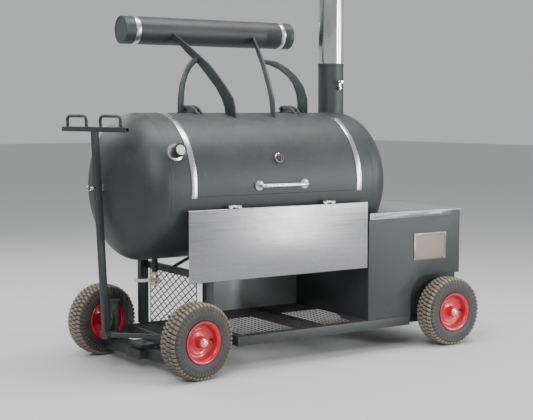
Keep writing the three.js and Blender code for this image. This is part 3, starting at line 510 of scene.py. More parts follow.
PLATE_STEEL = steel_finish("warm_plate_steel", (0.15, 0.13, 0.105), (0.24, 0.215, 0.18), 0.34,
                           (4.0, 700.0, 700.0))
DARK_STEEL = steel_finish("dark_gauge_steel", (0.16, 0.17, 0.18), (0.26, 0.27, 0.28), 0.35,
                          (300.0, 300.0, 300.0))
BRASS = steel_finish("plated_brass", (0.62, 0.55, 0.42), (0.85, 0.79, 0.66), 0.32,
                     (300.0, 300.0, 60.0))

look()
soft_light("key_left", (-4.2, -4.6, 4.6), (0, 0, 0.9), (3.0, 2.4), 230)
soft_light("top_strip", (0.0, -0.4, 4.6), (0, 0, 1.0), (4.5, 1.2), 190)
soft_light("fill_right", (5.2, -3.4, 2.2), (0.3, 0, 0.8), (2.4, 2.4), 120)
soft_light("back_rim", (-1.5, 4.5, 3.6), (0, 0, 1.1), (4.0, 1.4), 110)
soft_light("shelf_strip", (3.1, -4.9, 1.3), (0.1, -0.4, 0.7), (0.32, 2.6), 150)

deselect()
bpy.ops.mesh.primitive_plane_add(size=60, location=(0, 10, 0))
floor = bpy.context.object
floor.name = "studio_floor"
settle(floor)
floor_finish, _, floor_shader = new_finish("studio_floor", Roughness=0.75)
floor_shader.inputs["Base Color"].default_value = (0.62, 0.62, 0.62, 1)
floor.data.materials.append(floor_finish)
world = bpy.data.worlds.new("studio")
bpy.context.scene.world = world
world.use_nodes = True
world.node_tree.nodes["Background"].inputs["Color"].default_value = (0.78, 0.79, 0.8, 1)
world.node_tree.nodes["Background"].inputs["Strength"].default_value = 0.66


# ---------------------------------------------------------------- drum and lid
def drum_outline():
    """Radius and distance along X of the drum, with rings where the lid is cut."""
    steps = 18
    dome = [(DRUM_RADIUS * math.sin(math.pi / 2 * k / steps), DOME_DEPTH * math.cos(
        math.pi / 2 * k / steps)) for k in range(steps + 1)]
    dome[0] = (0, DOME_DEPTH)
    rings = [LID_LEFT - LID_GAP, LID_LEFT, LID_RIGHT, LID_RIGHT + LID_GAP]
    return [(r, DRUM_LEFT - d) for r, d in dome] + [(DRUM_RADIUS, x) for x in rings] + [
        (r, DRUM_RIGHT + d) for r, d in reversed(dome)]


def drum_angle(spot):
    """Angle of a point round the drum, from its front line up over the top."""
    return math.atan2(spot.z - DRUM_Z, -spot.y)


def make_drum_and_lid():
    """One turned shell, cut apart along the lid's edges and then given its wall."""
    drum = turned("drum_shell", drum_outline(), (0, 0, DRUM_Z), (1, 0, 0), 144)
    gap = LID_GAP / DRUM_RADIUS
    for angle in (LID_LOW - gap, LID_LOW, LID_HIGH, LID_HIGH + gap):
        pick_faces(drum, lambda c, n: LID_LEFT - 0.01 < c.x < LID_RIGHT + 0.01
                   and abs(drum_angle(c) - angle) < 0.3)
        bpy.ops.mesh.bisect(plane_co=(0, 0, DRUM_Z),
                            plane_no=(0, math.sin(angle), math.cos(angle)))

    def inside_lid(c, spare):
        return (LID_LEFT - spare < c.x < LID_RIGHT + spare
                and LID_LOW - spare / DRUM_RADIUS < drum_angle(c) < LID_HIGH + spare / DRUM_RADIUS)

    pick_faces(drum, lambda c, n: inside_lid(c, LID_GAP) and not inside_lid(c, 0))
    bpy.ops.mesh.delete(type="FACE")
    pick_faces(drum, lambda c, n: inside_lid(c, 0))
    bpy.ops.mesh.separate(type="SELECTED")
    bpy.ops.object.mode_set(mode="OBJECT")
    lid = [o for o in bpy.context.selected_objects if o != drum][0]
    lid.name = "lid_panel"
    for piece in (drum, lid):
        apply(piece, "SOLIDIFY", thickness=DRUM_WALL, offset=-1, use_even_offset=True)
    deselect()
    bpy.ops.mesh.primitive_cylinder_add(vertices=64, radius=0.064, depth=0.3,
                                        location=(STACK_X, 0, DRUM_Z + DRUM_RADIUS))
    cut_with(drum, settle(bpy.context.object))
    deselect()
    bpy.ops.mesh.primitive_cube_add(size=1, location=(DRUM_RIGHT + 0.12, 0, 0.669))
    throat = bpy.context.object
    throat.scale = (0.26, 0.36, 0.146)
    cut_with(drum, settle(throat))
    pipe = turned("drain_pipe", [(0.012, 0.498), (0.0165, 0.498), (0.0165, 0.575), (0.012, 0.575)],
                  (VALVE_X, 0, 0), (0, 0, 1), 32, closed=True)
    bead = [(DRUM_RADIUS - 0.001, -0.0035), (DRUM_RADIUS + 0.0006, -0.003), (DRUM_RADIUS + 0.0011, 0),
            (DRUM_RADIUS + 0.0006, 0.003), (DRUM_RADIUS - 0.001, 0.0035)]
    seams = [turned("drum_seam", bead, (x, 0, DRUM_Z), (1, 0, 0), 144, closed=True)
             for x in (DRUM_LEFT + 0.012, DRUM_RIGHT - 0.012)]
    for piece in (drum, lid):
        smooth(piece, 28)
    fit(joined(drum, pipe, *seams), "body", BLACK, "black_paint", "cooking_drum")
    fit(lid, "lid", BLACK, "black_paint", "lid")


def ring_strip(name, x0, x1, low, high, inner, outer, steps=40):
    """Curved flat bar lying on the drum between two angles, with eased edges."""
    deselect()
    middle = (inner + outer) / 2
    bpy.ops.mesh.primitive_plane_add(size=1, rotation=(math.pi / 2, 0, 0))
    piece = bpy.context.object
    piece.name = name
    piece.scale = (x1 - x0, outer - inner, 1)
    settle(piece)
    settle(piece, Matrix.Translation(((x0 + x1) / 2, 0, DRUM_Z)) @ Matrix.Rotation(
        math.pi / 2 - low, 4, "X") @ Matrix.Translation((0, 0, middle)))
    edit(piece, "FACE")
    bpy.ops.mesh.spin(steps=steps, angle=high - low, center=(0, 0, DRUM_Z), axis=(1, 0, 0))
    bpy.ops.mesh.select_all(action="SELECT")
    bpy.ops.mesh.remove_doubles(threshold=0.00001)
    bpy.ops.mesh.select_mode(type="EDGE")
    bpy.ops.mesh.select_all(action="DESELECT")
    bpy.ops.mesh.select_non_manifold()
    bpy.ops.mesh.edge_face_add()
    tidy_mesh(piece)
    return soften(piece, 0.0007, 2, 40)


def on_drum(x, angle, out=0.0):
    """Point on the drum's outside and the direction that faces out there."""
    outward = Vector((0, -math.cos(angle), math.sin(angle)))
    return Vector((x, 0, DRUM_Z)) + outward * (DRUM_RADIUS + out), outward


def make_straps():
    for word, x0, low, high in (("left", LID_LEFT - 0.016, -6.6, 92),
                                ("right", LID_RIGHT - 0.016, -6, 66)):
        low, high = math.radians(low), math.radians(high)
        band = ring_strip("strap_" + word, x0, x0 + 0.031, low, high, DRUM_RADIUS + 0.0006,
                          DRUM_RADIUS + 0.0036)
        rivets = []
        for angle in (low + 0.03, low + 0.07, high - 0.03, high - 0.07):
            spot, out = on_drum(x0 + 0.0155, angle, 0.0034)
            rivets.append(turned("rivet", [(0.0045, 0), (0.0043, 0.0009), (0.0028, 0.0017),
                                           (0, 0.002)], spot, out, 16))
        fit(joined(band, *rivets), "lid", STRAP_STEEL, "stainless", "lid_strap_" + word)


# ---------------------------------------------------------------- lid arms, tube and hinges
def make_counterweight():
    end = [(0, -TUBE_HALF + 0.003), (TUBE_RADIUS - 0.007, -TUBE_HALF + 0.003),
           (TUBE_RADIUS - 0.0055, -TUBE_HALF), (TUBE_RADIUS - 0.001, -TUBE_HALF),
           (TUBE_RADIUS, -TUBE_HALF + 0.001), (TUBE_RADIUS, -TUBE_HALF + 0.008)]
    drain = [(0.012, TUBE_HALF - 0.003), (0.012, TUBE_HALF - 0.012), (0, TUBE_HALF - 0.012)]
    other = [(r, -h) for r, h in reversed(end)][:-1] + drain
    tube = turned("counterweight", end + other, (LID_X, TUBE_Y, TUBE_Z), (1, 0, 0), 96)
    fit(tube, "lid", BLACK, "black_paint", "counterweight_tube")
    for side, word in ((-1, "left"), (1, "right")):
        r = TUBE_RADIUS
        band = turned("band_" + word, [(r + 0.0002, -0.014), (r + 0.0014, -0.014), (r + 0.0019, -0.0132),
                                       (r + 0.0019, 0.0132), (r + 0.0014, 0.014), (r + 0.0002, 0.014)],
                      (LID_X + side * (TUBE_HALF - 0.075), TUBE_Y, TUBE_Z), (1, 0, 0), 96, closed=True)
        fit(band, "lid", STRAP_STEEL, "stainless", "counterweight_band_" + word)
        for kind in ("counterweight_arm_", "brace_arm_"):
            fit(refined(kind + word, 0.0012), "lid", BLACK, "black_paint", kind + word)
        ears = refined("lid_hinge_ears_" + word, 0.001)
        x = LID_X + side * 0.311
        heads = [hex_head("bolt", (x + k * 0.0205, 0.05, 1.353), (k, 0, 0), 0.019, 0.006)
                 for k in (-1, 1)]
        fit(joined(ears, *heads), "lid", FRAME_BLACK, "black_paint", "lid_hinge_ears_" + word)
        fit(refined("drum_hinge_lug_" + word, 0.001), "body", FRAME_BLACK, "black_paint",
            "drum_hinge_lug_" + word)


# ---------------------------------------------------------------- handle, thermometer, gauge
def make_handle():
    z, out = HANDLE_Z, -0.424
    left, right = HANDLE_LEFT, HANDLE_RIGHT
    bar = bent_bar("handle_bar", [(left, -DRUM_RADIUS, z), (left, out, z), (right, out, z),
                                  (right, -DRUM_RADIUS, z)], 0.0095, 0.022, 10, 8)
    feet = []
    for x in (left, right):
        feet.append(turned("handle_foot", [(0, -0.372), (0.026, -0.372), (0.026, -0.384), (0.0245, -0.3875),
                                           (0.018, -0.3905), (0.0105, -0.3925), (0.0105, -0.398),
                                           (0.0095, -0.4), (0, -0.4)],
                           (x, 0, z), (0, 1, 0), 48))
        tidy_mesh(feet[-1])
    fit(joined(bar, *feet), "lid", STRAP_STEEL, "stainless", "lid_handle")


def dial_marks(name, at, towards, radius, count, sweep, long=0.004, wide=0.0008):
    """Short raised marks round a dial."""
    marks = []
    for k in range(count):
        angle = -sweep / 2 + sweep * k / (count - 1)
        deselect()
        bpy.ops.mesh.primitive_cube_add(size=1, location=(0, radius, 0))
        mark = bpy.context.object
        mark.scale = (wide, long * (1.5 if k % 5 == 0 else 1), 0.0004)
        settle(mark)
        marks.append(settle(mark, Matrix.Rotation(-angle, 4, "Z")))
    piece = joined(marks[0], *marks[1:])
    piece.name = name
    soften(piece, 0.0001, 1)
    return settle(piece, facing(at, towards))


def make_thermometer():
    angle = math.radians(22)
    spot, out = on_drum(LID_X + 0.003, angle)
    case = turned("thermometer_case", [(0, 0.0005), (0.021, 0.0005), (0.0262, 0.0015), (0.027, 0.004),
                                       (0.026, 0.012), (0.0245, 0.0148), (0.0225, 0.0142),
                                       (0.0218, 0.012), (0.0215, 0.0066), (0, 0.0066)], spot, out, 64)
    fit(case, "lid", CHROME, "stainless", "lid_thermometer")
    face = turned("thermometer_face", [(0, 0.0067), (0.0213, 0.0067), (0.0213, 0.0071), (0, 0.0072)],
                  spot, out, 48)
    fit(face, "lid", DARK_PLASTIC, "gauge_black")
    marks = dial_marks("thermometer_marks", spot + out * 0.0072, out, 0.0178, 21, math.radians(270))
    fit(marks, "lid", DIAL, "stainless")
    fit(refined("lid_thermometer_pointer", 0), "thermometer_pointer", POINTER, "pointer_red",
        "lid_thermometer_pointer")


def make_side_gauge():
    aim = math.radians(16)
    out = Vector((0, -math.cos(aim), math.sin(aim)))
    spot, _ = on_drum(MIDDLE - 0.874, math.radians(28.5))
    ring = turned("gauge_ring", [(0.0, 0.006), (0.044, -0.014), (0.044, 0.015), (0.042, 0.0188),
                                 (0.038, 0.02), (0.0, 0.02)], spot, out, 64)
    fit(ring, "body", STRAP_STEEL, "stainless", "side_gauge_ring")
    body = turned("gauge_body", [(0, 0.0203), (0.031, 0.0203), (0.031, 0.028), (0.0275, 0.03),
                                 (0.0275, 0.044), (0.031, 0.046), (0.031, 0.061), (0, 0.061)],
                  spot, out, 64)
    rim = turned("gauge_rim", [(0.0255, 0.0605), (0.034, 0.0605), (0.0345, 0.063), (0.0345, 0.072),
                               (0.0325, 0.0757), (0.0285, 0.0765), (0.0262, 0.0748), (0.0255, 0.0715)],
                 spot, out, 64, closed=True)
    face = turned("gauge_face", [(0, 0.0605), (0.0257, 0.0605), (0.0257, 0.0715), (0.024, 0.0722),
                                 (0, 0.0722)], spot, out, 64)
    marks = dial_marks("gauge_marks", spot + out * 0.0723, out, 0.0205, 21, math.radians(280), 0.0022,
                       0.0005)
    fit(body, "body", DARK_PLASTIC, "gauge_black", "side_gauge")
    fit(rim, "body", DARK_PLASTIC, "gauge_black")
    fit(face, "body", DIAL, "stainless")
    needle = box("gauge_needle", (-0.0005, -0.005, 0), (0.0005, 0.015, 0.0005), 0.0001)
    settle(needle, facing(spot + out * 0.0728, out) @ Matrix.Rotation(0.9, 4, "Z"))
    fit(joined(marks, needle), "body", DARK_PLASTIC, "gauge_black")


# ---------------------------------------------------------------- chimney
def saddle(radius, drum_radius, steps=48):
    """Line where an upright pipe meets the drum."""
    points = []
    for k in range(steps):
        t = math.tau * k / steps
        x, y = radius * math.cos(t), radius * math.sin(t)
        points.append((STACK_X + x, y, DRUM_Z + math.sqrt(drum_radius ** 2 - y ** 2)))
    return points


def make_chimney():
    r = STACK_RADIUS
    pipe = turned("chimney_pipe", [(r - 0.0035, 1.28), (r, 1.28), (r, 1.594), (r + 0.0012, 1.5955),
                                   (r + 0.0012, 1.607), (r, 1.6088), (r - 0.0035, 1.6088)],
                  (STACK_X, 0, 0), (0, 0, 1), 80, closed=True)
    deselect()
    bpy.ops.mesh.primitive_cylinder_add(vertices=144, radius=DRUM_RADIUS + 0.0003, depth=0.4,
                                        location=(STACK_X, 0, DRUM_Z), rotation=(0, math.pi / 2, 0))
    cut_with(pipe, settle(bpy.context.object))
    smooth(pipe, 30)
    weld = bent_bar("chimney_weld", saddle(r + 0.001, DRUM_RADIUS + 0.001), 0.0028, 0.0001, 1, 2)
    guide = [(0.0062, 0.0705), (0.011, 0.0705), (0.011, 0.0795), (0.01, 0.081), (0.0062, 0.081)]
    guides = [turned("shaft_guide", guide, (STACK_X, 0, DAMPER_Z), (0, side, 0), 28, closed=True)
              for side in (-1, 1)]
    fit(joined(pipe, weld, *guides), "body", BLACK, "black_paint", "chimney_base")
    low, high = STACK_JOINT_Z + 0.0003, STACK_TOP_Z
    wall = [(r - 0.0025, low), (r - 0.0005, low), (r - 0.0005, high - 0.004), (r + 0.0008, high - 0.0015),
            (r - 0.0003, high), (r - 0.0022, high - 0.001), (r - 0.0025, high - 0.004)]
    top = turned("chimney_top_pipe", wall, (STACK_X, 0, 0), (0, 0, 1), 96, closed=True)
    fit(top, "body", CHROME, "polished", "chimney_top")
    disc = turned("damper_disc", [(0, -0.0015), (0.0637, -0.0015), (0.064, -0.0012), (0.064, 0.0012),
                                  (0.0637, 0.0015), (0, 0.0015)], (STACK_X, 0, DAMPER_Z), (1, 0, 0), 64)
    shaft = turned("damper_shaft", [(0, -0.082), (0.0046, -0.082), (0.005, -0.0816), (0.005, 0.086),
                                    (0, 0.086)], (STACK_X, 0, DAMPER_Z), (0, -1, 0), 24)
    fit(joined(disc, shaft), "damper", IRON, "dark_steel", "chimney_damper")
    grip = turned("damper_knob", [(0, 0.09), (0.0045, 0.09), (0.0045, 0.096), (0.0085, 0.099),
                                  (0.0095, 0.105), (0.008, 0.111), (0, 0.1125)],
                  (STACK_X, 0, 1.505), (0, -1, 0), 32)
    plate = box("damper_plate", (STACK_X - 0.007, -0.089, 1.461), (STACK_X + 0.007, -0.085, 1.513),
                0.0008)
    nut = hex_head("damper_nut", (STACK_X, -0.089, DAMPER_Z), (0, -1, 0), 0.012, 0.005)
    fit(joined(plate, grip, nut), "damper", CHROME, "stainless")


# ---------------------------------------------------------------- wheels
def make_wheel_patterns():
    """One each of tyre, shoulder ribs, tread, rim, valve stem and cap, with the axle along Z."""
    half = [(0.104, 0.046), (0.109, 0.054), (0.114, 0.0565), (0.118, 0.0585), (0.121, 0.0578),
            (0.126, 0.0602), (0.142, 0.0615), (0.158, 0.0605), (0.164, 0.0598), (0.166, 0.0608),
            (0.169, 0.0594), (0.176, 0.0555), (0.183, 0.048), (0.1865, 0.038), (0.1882, 0.018)]
    carcass = turned("tyre_pattern", half + [(r, -z) for r, z in reversed(half)], sides=72, closed=True,
                     edge=40)
    ribs = []
    for side in (-1, 1):
        rib = box("shoulder_rib", (-0.0135, -0.003, -0.0027), (0.0135, 0.003, 0.0027), 0.0012)
        settle(rib, Matrix.Translation((0.1635, 0, 0.0585)) @ Matrix.Rotation(0.21, 4, "Y"))
        if side < 0:
            settle(rib, Matrix.Rotation(math.pi, 4, "X"))
        edit(rib)
        bpy.ops.mesh.spin(steps=TREAD_BLOCKS, dupli=True, angle=math.tau, center=(0, 0, 0),
                          axis=(0, 0, 1))
        tidy_mesh(rib)
        ribs.append(smooth(rib, 30))
    ribs = joined(*ribs)
    ribs.name = "ribs_pattern"
    rows = []
    for z, stagger, wide, lean in ((-0.0445, 0.25, 0.023, 0.5), (-0.0148, 0.0, 0.0265, 0.05),
                                   (0.0148, 0.5, 0.0265, -0.05), (0.0445, 0.75, 0.023, -0.5)):
        deselect()
        bpy.ops.mesh.primitive_cube_add(size=1, location=(0, 0, 0))
        block = bpy.context.object
        block.scale = (0.0095, 0.0158, wide)
        settle(block)
        edit(block)
        bpy.ops.mesh.bisect(plane_co=(0, 0, 0.002), plane_no=(0, 0, 1))
        bpy.ops.object.mode_set(mode="OBJECT")
        for corner in block.data.vertices:
            corner.select = corner.co.z > 0.003
        for face in block.data.polygons:
            face.select = all(block.data.vertices[k].co.z > 0.001 for k in face.vertices)
        bpy.ops.object.mode_set(mode="EDIT")
        bpy.ops.mesh.select_mode(type="FACE")
        bpy.ops.transform.translate(value=(0, 0.0042, 0))
        bpy.ops.object.mode_set(mode="OBJECT")
        pick_faces(block, lambda c, n: n.x > 0.9)
        bpy.ops.transform.resize(value=(1, 0.88, 0.9))
        bpy.ops.object.mode_set(mode="OBJECT")
        soften(block, 0.001, 1)
        settle(block, Matrix.Rotation(lean, 4, "Y"))
        settle(block, Matrix.Translation((0.1852 if abs(z) > 0.03 else 0.1902, 0, z)))
        settle(block, Matrix.Rotation(stagger * math.tau / TREAD_BLOCKS, 4, "Z"))
        edit(block)
        bpy.ops.mesh.spin(steps=TREAD_BLOCKS, dupli=True, angle=math.tau, center=(0, 0, 0),
                          axis=(0, 0, 1))
        tidy_mesh(block)
        rows.append(smooth(block, 30))
    tread = joined(rows[0], *rows[1:])
    tread.name = "tread_pattern"
    rim = turned("rim_pattern", [(0.0152, 0.06), (0.025, 0.06), (0.0272, 0.058), (0.0278, 0.03),
                                 (0.031, 0.0235), (0.045, 0.0185), (0.058, 0.0178), (0.062, 0.0205),
                                 (0.066, 0.0205), (0.07, 0.0178), (0.078, 0.0188), (0.0835, 0.0235),
                                 (0.0865, 0.032), (0.09, 0.046), (0.0935, 0.0525), (0.0985, 0.0558),
                                 (0.1035, 0.058), (0.1068, 0.0588), (0.1082, 0.0575), (0.107, 0.0558),
                                 (0.1015, 0.05), (0.101, -0.05), (0.107, -0.0558), (0.1082, -0.0575),
                                 (0.1068, -0.0588), (0.0985, -0.0558), (0.0935, -0.0525), (0.09, -0.04),
                                 (0.086, 0.008), (0.08, 0.0138), (0.045, 0.0145), (0.031, 0.012),
                                 (0.0275, 0.008), (0.0272, -0.06), (0.0152, -0.06)], sides=80,
                 closed=True, edge=38)
    stem = turned("valve_stem", [(0, 0.014), (0.0052, 0.014), (0.0052, 0.024), (0.0038, 0.027),
                                 (0.0038, 0.038), (0.0045, 0.0385), (0.0045, 0.045), (0.0035, 0.046),
                                 (0, 0.046)], (0.074, 0, 0), sides=20)
    cap = turned("cap_pattern", [(0.0195, 0.0602), (0.0195, 0.0618), (0.0165, 0.0624), (0.0155, 0.064),
                                 (0.015, 0.0685), (0.0135, 0.0708), (0.009, 0.0718), (0, 0.072)],
                 sides=40)
    edit(cap)
    bpy.ops.mesh.select_all(action="DESELECT")
    bpy.ops.mesh.select_non_manifold()
    bpy.ops.mesh.edge_face_add()
    tidy_mesh(cap)
    smooth(cap, 30)
    return carcass, ribs, tread, rim, stem, cap


def make_wheels():
    patterns = make_wheel_patterns()
    for word, x, side in (("left_front", None, -1), ("left_rear", None, 1),
                          ("right_front", AXLE_RIGHT, -1), ("right_rear", AXLE_RIGHT, 1)):
        turn = Matrix.Rotation(math.pi / 2 * -side, 4, "X")
        local = Matrix.Translation((x or 0, side * TRACK_HALF, WHEEL_RADIUS)) @ turn
        move = local if x else STEERING @ local
        body = "wheel_" + word
        carcass, ribs, tread, rim, stem, cap = (copied(p, p.name + "_" + word, move) for p in patterns)
        fit(carcass, body, SIDEWALL, "tyre_rubber", "tyre_" + word)
        fit(ribs, body, RIBS_PAINTED_LIGHTER, "tyre_rubber")
        fit(tread, body, TREAD, "tyre_rubber")
        fit(rim, body, RED, "red_paint", "rim_" + word)
        fit(stem, body, DARK_PLASTIC, "tyre_rubber")
        fit(cap, body, CHROME, "polished")
    for pattern in patterns:
        bpy.data.objects.remove(pattern)


# ---------------------------------------------------------------- drawbar and drain valve
def make_drawbar_handle():
    """Square crossbar, hollow at its ends, with two loops of twisted square bar."""
    bar = box("drawbar_cross", (-0.0125, -0.288, 1.0383), (0.0125, 0.288, 1.063), 0.0018)
    pick_faces(bar, lambda c, n: abs(n.y) > 0.99)
    bpy.ops.mesh.inset(thickness=0.0022)
    bpy.ops.object.mode_set(mode="OBJECT")
    for side in (-1, 1):
        pick_faces(bar, lambda c, n: n.y * side > 0.99 and abs(c.x) < 0.002 and abs(c.z - 1.05) < 0.004)
        bpy.ops.mesh.extrude_region_move(TRANSFORM_OT_translate={"value": (0, -side * 0.025, 0)})
        bpy.ops.object.mode_set(mode="OBJECT")
    tidy_mesh(bar)
    loops = [bent_bar("grip", [(0, y - 0.088, 1.0615), (0, y - 0.088, 1.116), (0, y + 0.088, 1.116),
                               (0, y + 0.088, 1.0615)], 0.0085, 0.026, 10, 0, 300.0, True)
             for y in (-0.144, 0.160)]
    whole = joined(bar, *loops)
    settle(whole, DRAWBAR)
    smooth(whole, 25)
    fit(whole, "drawbar", FRAME_BLACK, "black_paint", "drawbar_crossbar")


def make_plate():
    """Plain badge: a slanted sheet with a sunk field and four domed screws."""
    plate = box("plate_sheet", (MIDDLE + 0.632, PLATE_FACE, PLATE_Z - 0.077),
                (MIDDLE + 0.872, PLATE_FACE + 0.003, PLATE_Z + 0.077), 0.0006)
    edit(plate)
    bpy.ops.object.mode_set(mode="OBJECT")
    for corner in plate.data.vertices:
        corner.select = corner.co.z > PLATE_Z
    bpy.ops.object.mode_set(mode="EDIT")
    bpy.ops.mesh.select_mode(type="VERT")
    bpy.ops.transform.translate(value=(0.008, 0, 0))
    bpy.ops.object.mode_set(mode="OBJECT")
    pick_faces(plate, lambda c, n: n.y < -0.99 and abs(c.z - PLATE_Z) < 0.02)
    bpy.ops.mesh.inset(thickness=0.014)
    bpy.ops.mesh.inset(thickness=0.0015, depth=-0.0008)
    bpy.ops.object.mode_set(mode="OBJECT")
    smooth(plate, 25)
    screws = []
    for a in (-1, 1):
        for b in (-1, 1):
            spot = (MIDDLE + 0.756 + a * 0.112 + b * 0.003, PLATE_FACE, PLATE_Z + b * 0.069)
            screws.append(turned("plate_screw", [(0.0042, 0), (0.004, 0.0009), (0.0026, 0.0018),
                                                 (0.001, 0.0022), (0, 0.0022)], spot, (0, -1, 0), 20))
    fit(plate, "body", PLATE_STEEL, "stainless", "name_plate")
    fit(joined(screws[0], *screws[1:]), "body", CHROME, "stainless")


def make_drain_valve():
    x, z = VALVE_X, VALVE_Z
    body = turned("valve_body", [(0.0108, -0.036), (0.0165, -0.036), (0.0168, -0.0345), (0.0168, -0.02),
                                 (0.0185, -0.016), (0.0208, -0.007), (0.021, 0.0), (0.0208, 0.007),
                                 (0.0185, 0.016), (0.0168, 0.02), (0.0168, 0.0372), (0.0108, 0.0372)],
                  (x, 0, z), (0, 0, 1), 48, closed=True)
    nuts = []
    for low in (-0.036, 0.0215):
        high = low + 0.015
        nut = [(0.0109, low), (0.0185, low), (0.0215, low + 0.0015), (0.0215, high - 0.0015),
               (0.0185, high), (0.0109, high)]
        nuts.append(turned("valve_hexagon", nut, (x, 0, z), (0, 0, 1), 6, closed=True, edge=20))
    stem = turned("valve_stem_boss", [(0, 0.016), (0.0105, 0.016), (0.0105, 0.026), (0.008, 0.028),
                                      (0.008, 0.034), (0, 0.034)], (x, 0, z), (0, -1, 0), 28)
    fit(joined(body, *nuts, stem), "body", BRASS, "brass", "drain_valve_body")
    plate = box("valve_lever_plate", (x - 0.072, -0.0395, z - 0.008), (x + 0.009, -0.0365, z + 0.008),
                0.0007)
    disc = turned("valve_lever_eye", [(0, 0.0346), (0.0125, 0.0346), (0.0128, 0.035), (0.0128, 0.0396),
                                      (0, 0.0396)], (x, 0, z), (0, -1, 0), 28)
    nut = hex_head("valve_nut", (x, -0.0396, z), (0, -1, 0), 0.012, 0.005)
    sleeve = bent_bar("valve_sleeve", [(x - 0.058, -0.038, z + 0.001), (x - 0.1, -0.039, z + 0.0015),
                                       (x - 0.137, -0.041, z + 0.007)], 0.0088, 0.02, 6, 6)
    fit(joined(plate, disc, nut), "drain_lever", STEEL, "stainless", "drain_valve_lever")
    fit(sleeve, "drain_lever", SLEEVE, "stainless")


# ---------------------------------------------------------------- front shelf
def make_shelf():
    """Folded sheet: a face with its top and bottom edges turned back, and welded hinge knuckles."""
    lo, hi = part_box("front_shelf")
    top, bottom = SHELF_TOP, SHELF_TOP - SHELF_HEIGHT
    face, back = SHELF_FACE, SHELF_BACK
    fold = 0.003
    profile = [(face, top - fold), (face, bottom + fold), (face + fold, bottom), (back, bottom),
               (back, bottom + 0.003), (face + 0.004, bottom + 0.003), (face + 0.003, bottom + 0.004),
               (face + 0.003, top - 0.004), (face + 0.004, top - 0.003), (back, top - 0.003), (back, top),
               (face + fold, top)]
    sheet = line("shelf_sheet", [(lo.x, y, z) for y, z in profile + profile[:1]])
    bpy.ops.mesh.select_all(action="SELECT")
    bpy.ops.mesh.remove_doubles(threshold=0.00001)
    bpy.ops.mesh.select_all(action="SELECT")
    bpy.ops.mesh.edge_face_add()
    bpy.ops.mesh.extrude_region_move(TRANSFORM_OT_translate={"value": (hi.x - lo.x, 0, 0)})
    settle(sheet)
    tidy_mesh(sheet)
    soften(sheet, 0.0006, 2, 25)
    knuckles = []
    for x in SHELF_HINGES:
        for side in (-1, 1):
            a, b = sorted((x + side * 0.014, x + side * 0.038))
            barrel = [(0, a), (0.0055, a), (0.006, a + 0.0006), (0.006, b - 0.0006), (0.0055, b), (0, b)]
            knuckles.append(turned("knuckle", barrel, (0, -0.396, 0.857), (1, 0, 0), 24))
            knuckles.append(box("knuckle_leaf", (a, -0.4019, 0.842), (b, -0.399, 0.857), 0.0006))
    fit(joined(sheet, *knuckles), "shelf", SHELF_STEEL, "stainless", "front_shelf")


# ---------------------------------------------------------------- expanded metal
def expanded_sheet(name, wide, high, cell, thick, strand):
    """Diamond mesh in the XY plane about the origin, with a narrow uncut edge."""
    count = math.ceil(wide / cell[0] + high / cell[1]) + 1
    deselect()
    bpy.ops.mesh.primitive_grid_add(x_subdivisions=count, y_subdivisions=count, size=count)
    sheet = bpy.context.object
    sheet.name = name
    sheet.rotation_euler.z = math.pi / 4
    settle(sheet)
    sheet.scale = (cell[0] / math.sqrt(2), cell[1] / math.sqrt(2), 1)
    settle(sheet)
    for spot, face in (((wide / 2, 0, 0), (1, 0, 0)), ((-wide / 2, 0, 0), (-1, 0, 0)),
                       ((0, high / 2, 0), (0, 1, 0)), ((0, -high / 2, 0), (0, -1, 0))):
        edit(sheet)
        bpy.ops.mesh.bisect(plane_co=spot, plane_no=face, clear_outer=True)
    bpy.ops.object.mode_set(mode="OBJECT")
    apply(sheet, "WIREFRAME", thickness=strand, use_even_offset=False, use_boundary=True)
    sheet.scale = (1, 1, thick / strand)
    return settle(sheet)


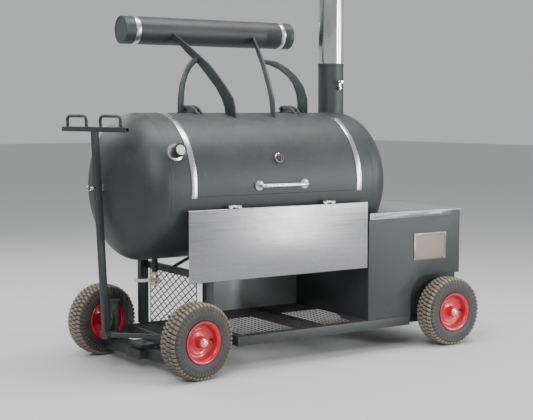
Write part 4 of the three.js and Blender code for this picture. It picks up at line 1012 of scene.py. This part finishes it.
def make_meshes():
    """Deck floor in two parts, and the upright screen at the left end of the log bay."""
    neck = expanded_sheet("floor_mesh_neck", 0.316, 0.492, FLOOR_CELL, MESH_SHEET, FLOOR_STRAND)
    settle(neck, Matrix.Translation((MIDDLE - 0.686, 0, FLOOR_Z)))
    floor_mesh = expanded_sheet("floor_mesh", 0.843, 0.748, FLOOR_CELL, MESH_SHEET, FLOOR_STRAND)
    settle(floor_mesh, Matrix.Translation((MIDDLE - 0.1065, 0, FLOOR_Z)))
    fit(joined(floor_mesh, neck), "body", MESH_BLACK, "dark_steel", "deck_mesh_floor")
    wall = expanded_sheet("bay_mesh", 0.514, 0.303, BAY_CELL, MESH_SHEET, BAY_STRAND)
    settle(wall, Matrix.Translation((MIDDLE - 0.702, 0.005, 0.336)) @ Matrix.Rotation(
        math.pi / 2, 4, "Z") @ Matrix.Rotation(math.pi / 2, 4, "X"))
    fit(wall, "body", MESH_BLACK, "dark_steel", "log_bay_mesh")


make_drum_and_lid()
make_straps()
make_counterweight()
make_handle()
make_thermometer()
make_side_gauge()
make_chimney()
make_wheels()
make_shelf()
make_drawbar_handle()
make_drain_valve()
make_plate()
make_meshes()

for node, body, finish, slot_name, edge in (
        ("firebox", "body", BLACK, "black_paint", 0.0015),
        ("firebox_door_wall", "body", BLACK, "black_paint", 0.0012),
        ("firebox_top_plate", "body", PANEL_STEEL, "stainless", 0.0012),
        ("firebox_edge_strip", "body", DARK_STEEL, "stainless", 0.0005),
        ("firebox_door", "door", BLACK, "black_paint", 0.001),
        ("firebox_air_slide", "air_slide", STEEL, "stainless", 0.0005),
        ("firebox_door_latch", "door_latch", STEEL, "stainless", 0.0005),
        ("ash_drawer", "ash_drawer", BLACK, "black_paint", 0.0008),
        ("deck_frame", "body", FRAME_BLACK, "black_paint", 0.002),
        ("drum_support", "body", FRAME_BLACK, "black_paint", 0.002),
        ("log_bay_back", "body", BACK_STEEL, "stainless", 0.0006),
        ("steering_axle", "front_axle", FRAME_BLACK, "black_paint", 0.0015),
        ("drawbar", "drawbar", FRAME_BLACK, "black_paint", 0.0012),
        ("drawbar_lock_pin", "lock_pin", CHROME, "polished", 0.0004),
        ("drawbar_keeper", "body", STEEL, "stainless", 0.0008),
        ("shelf_hinge_left", "body", CHROME, "polished", 0.0006),
        ("shelf_hinge_right", "body", CHROME, "polished", 0.0006),
        ("cooking_grate_left", "body", IRON, "seasoned_iron", 0.001),
        ("cooking_grate_right", "body", IRON, "seasoned_iron", 0.001),
        ("grate_support", "body", IRON, "seasoned_iron", 0.001),
        ("heat_deflector", "body", IRON, "dark_steel", 0.0008),
        ("fire_grate", "body", IRON, "seasoned_iron", 0.001)):
    fit(refined(node, edge), body, finish, slot_name, node)
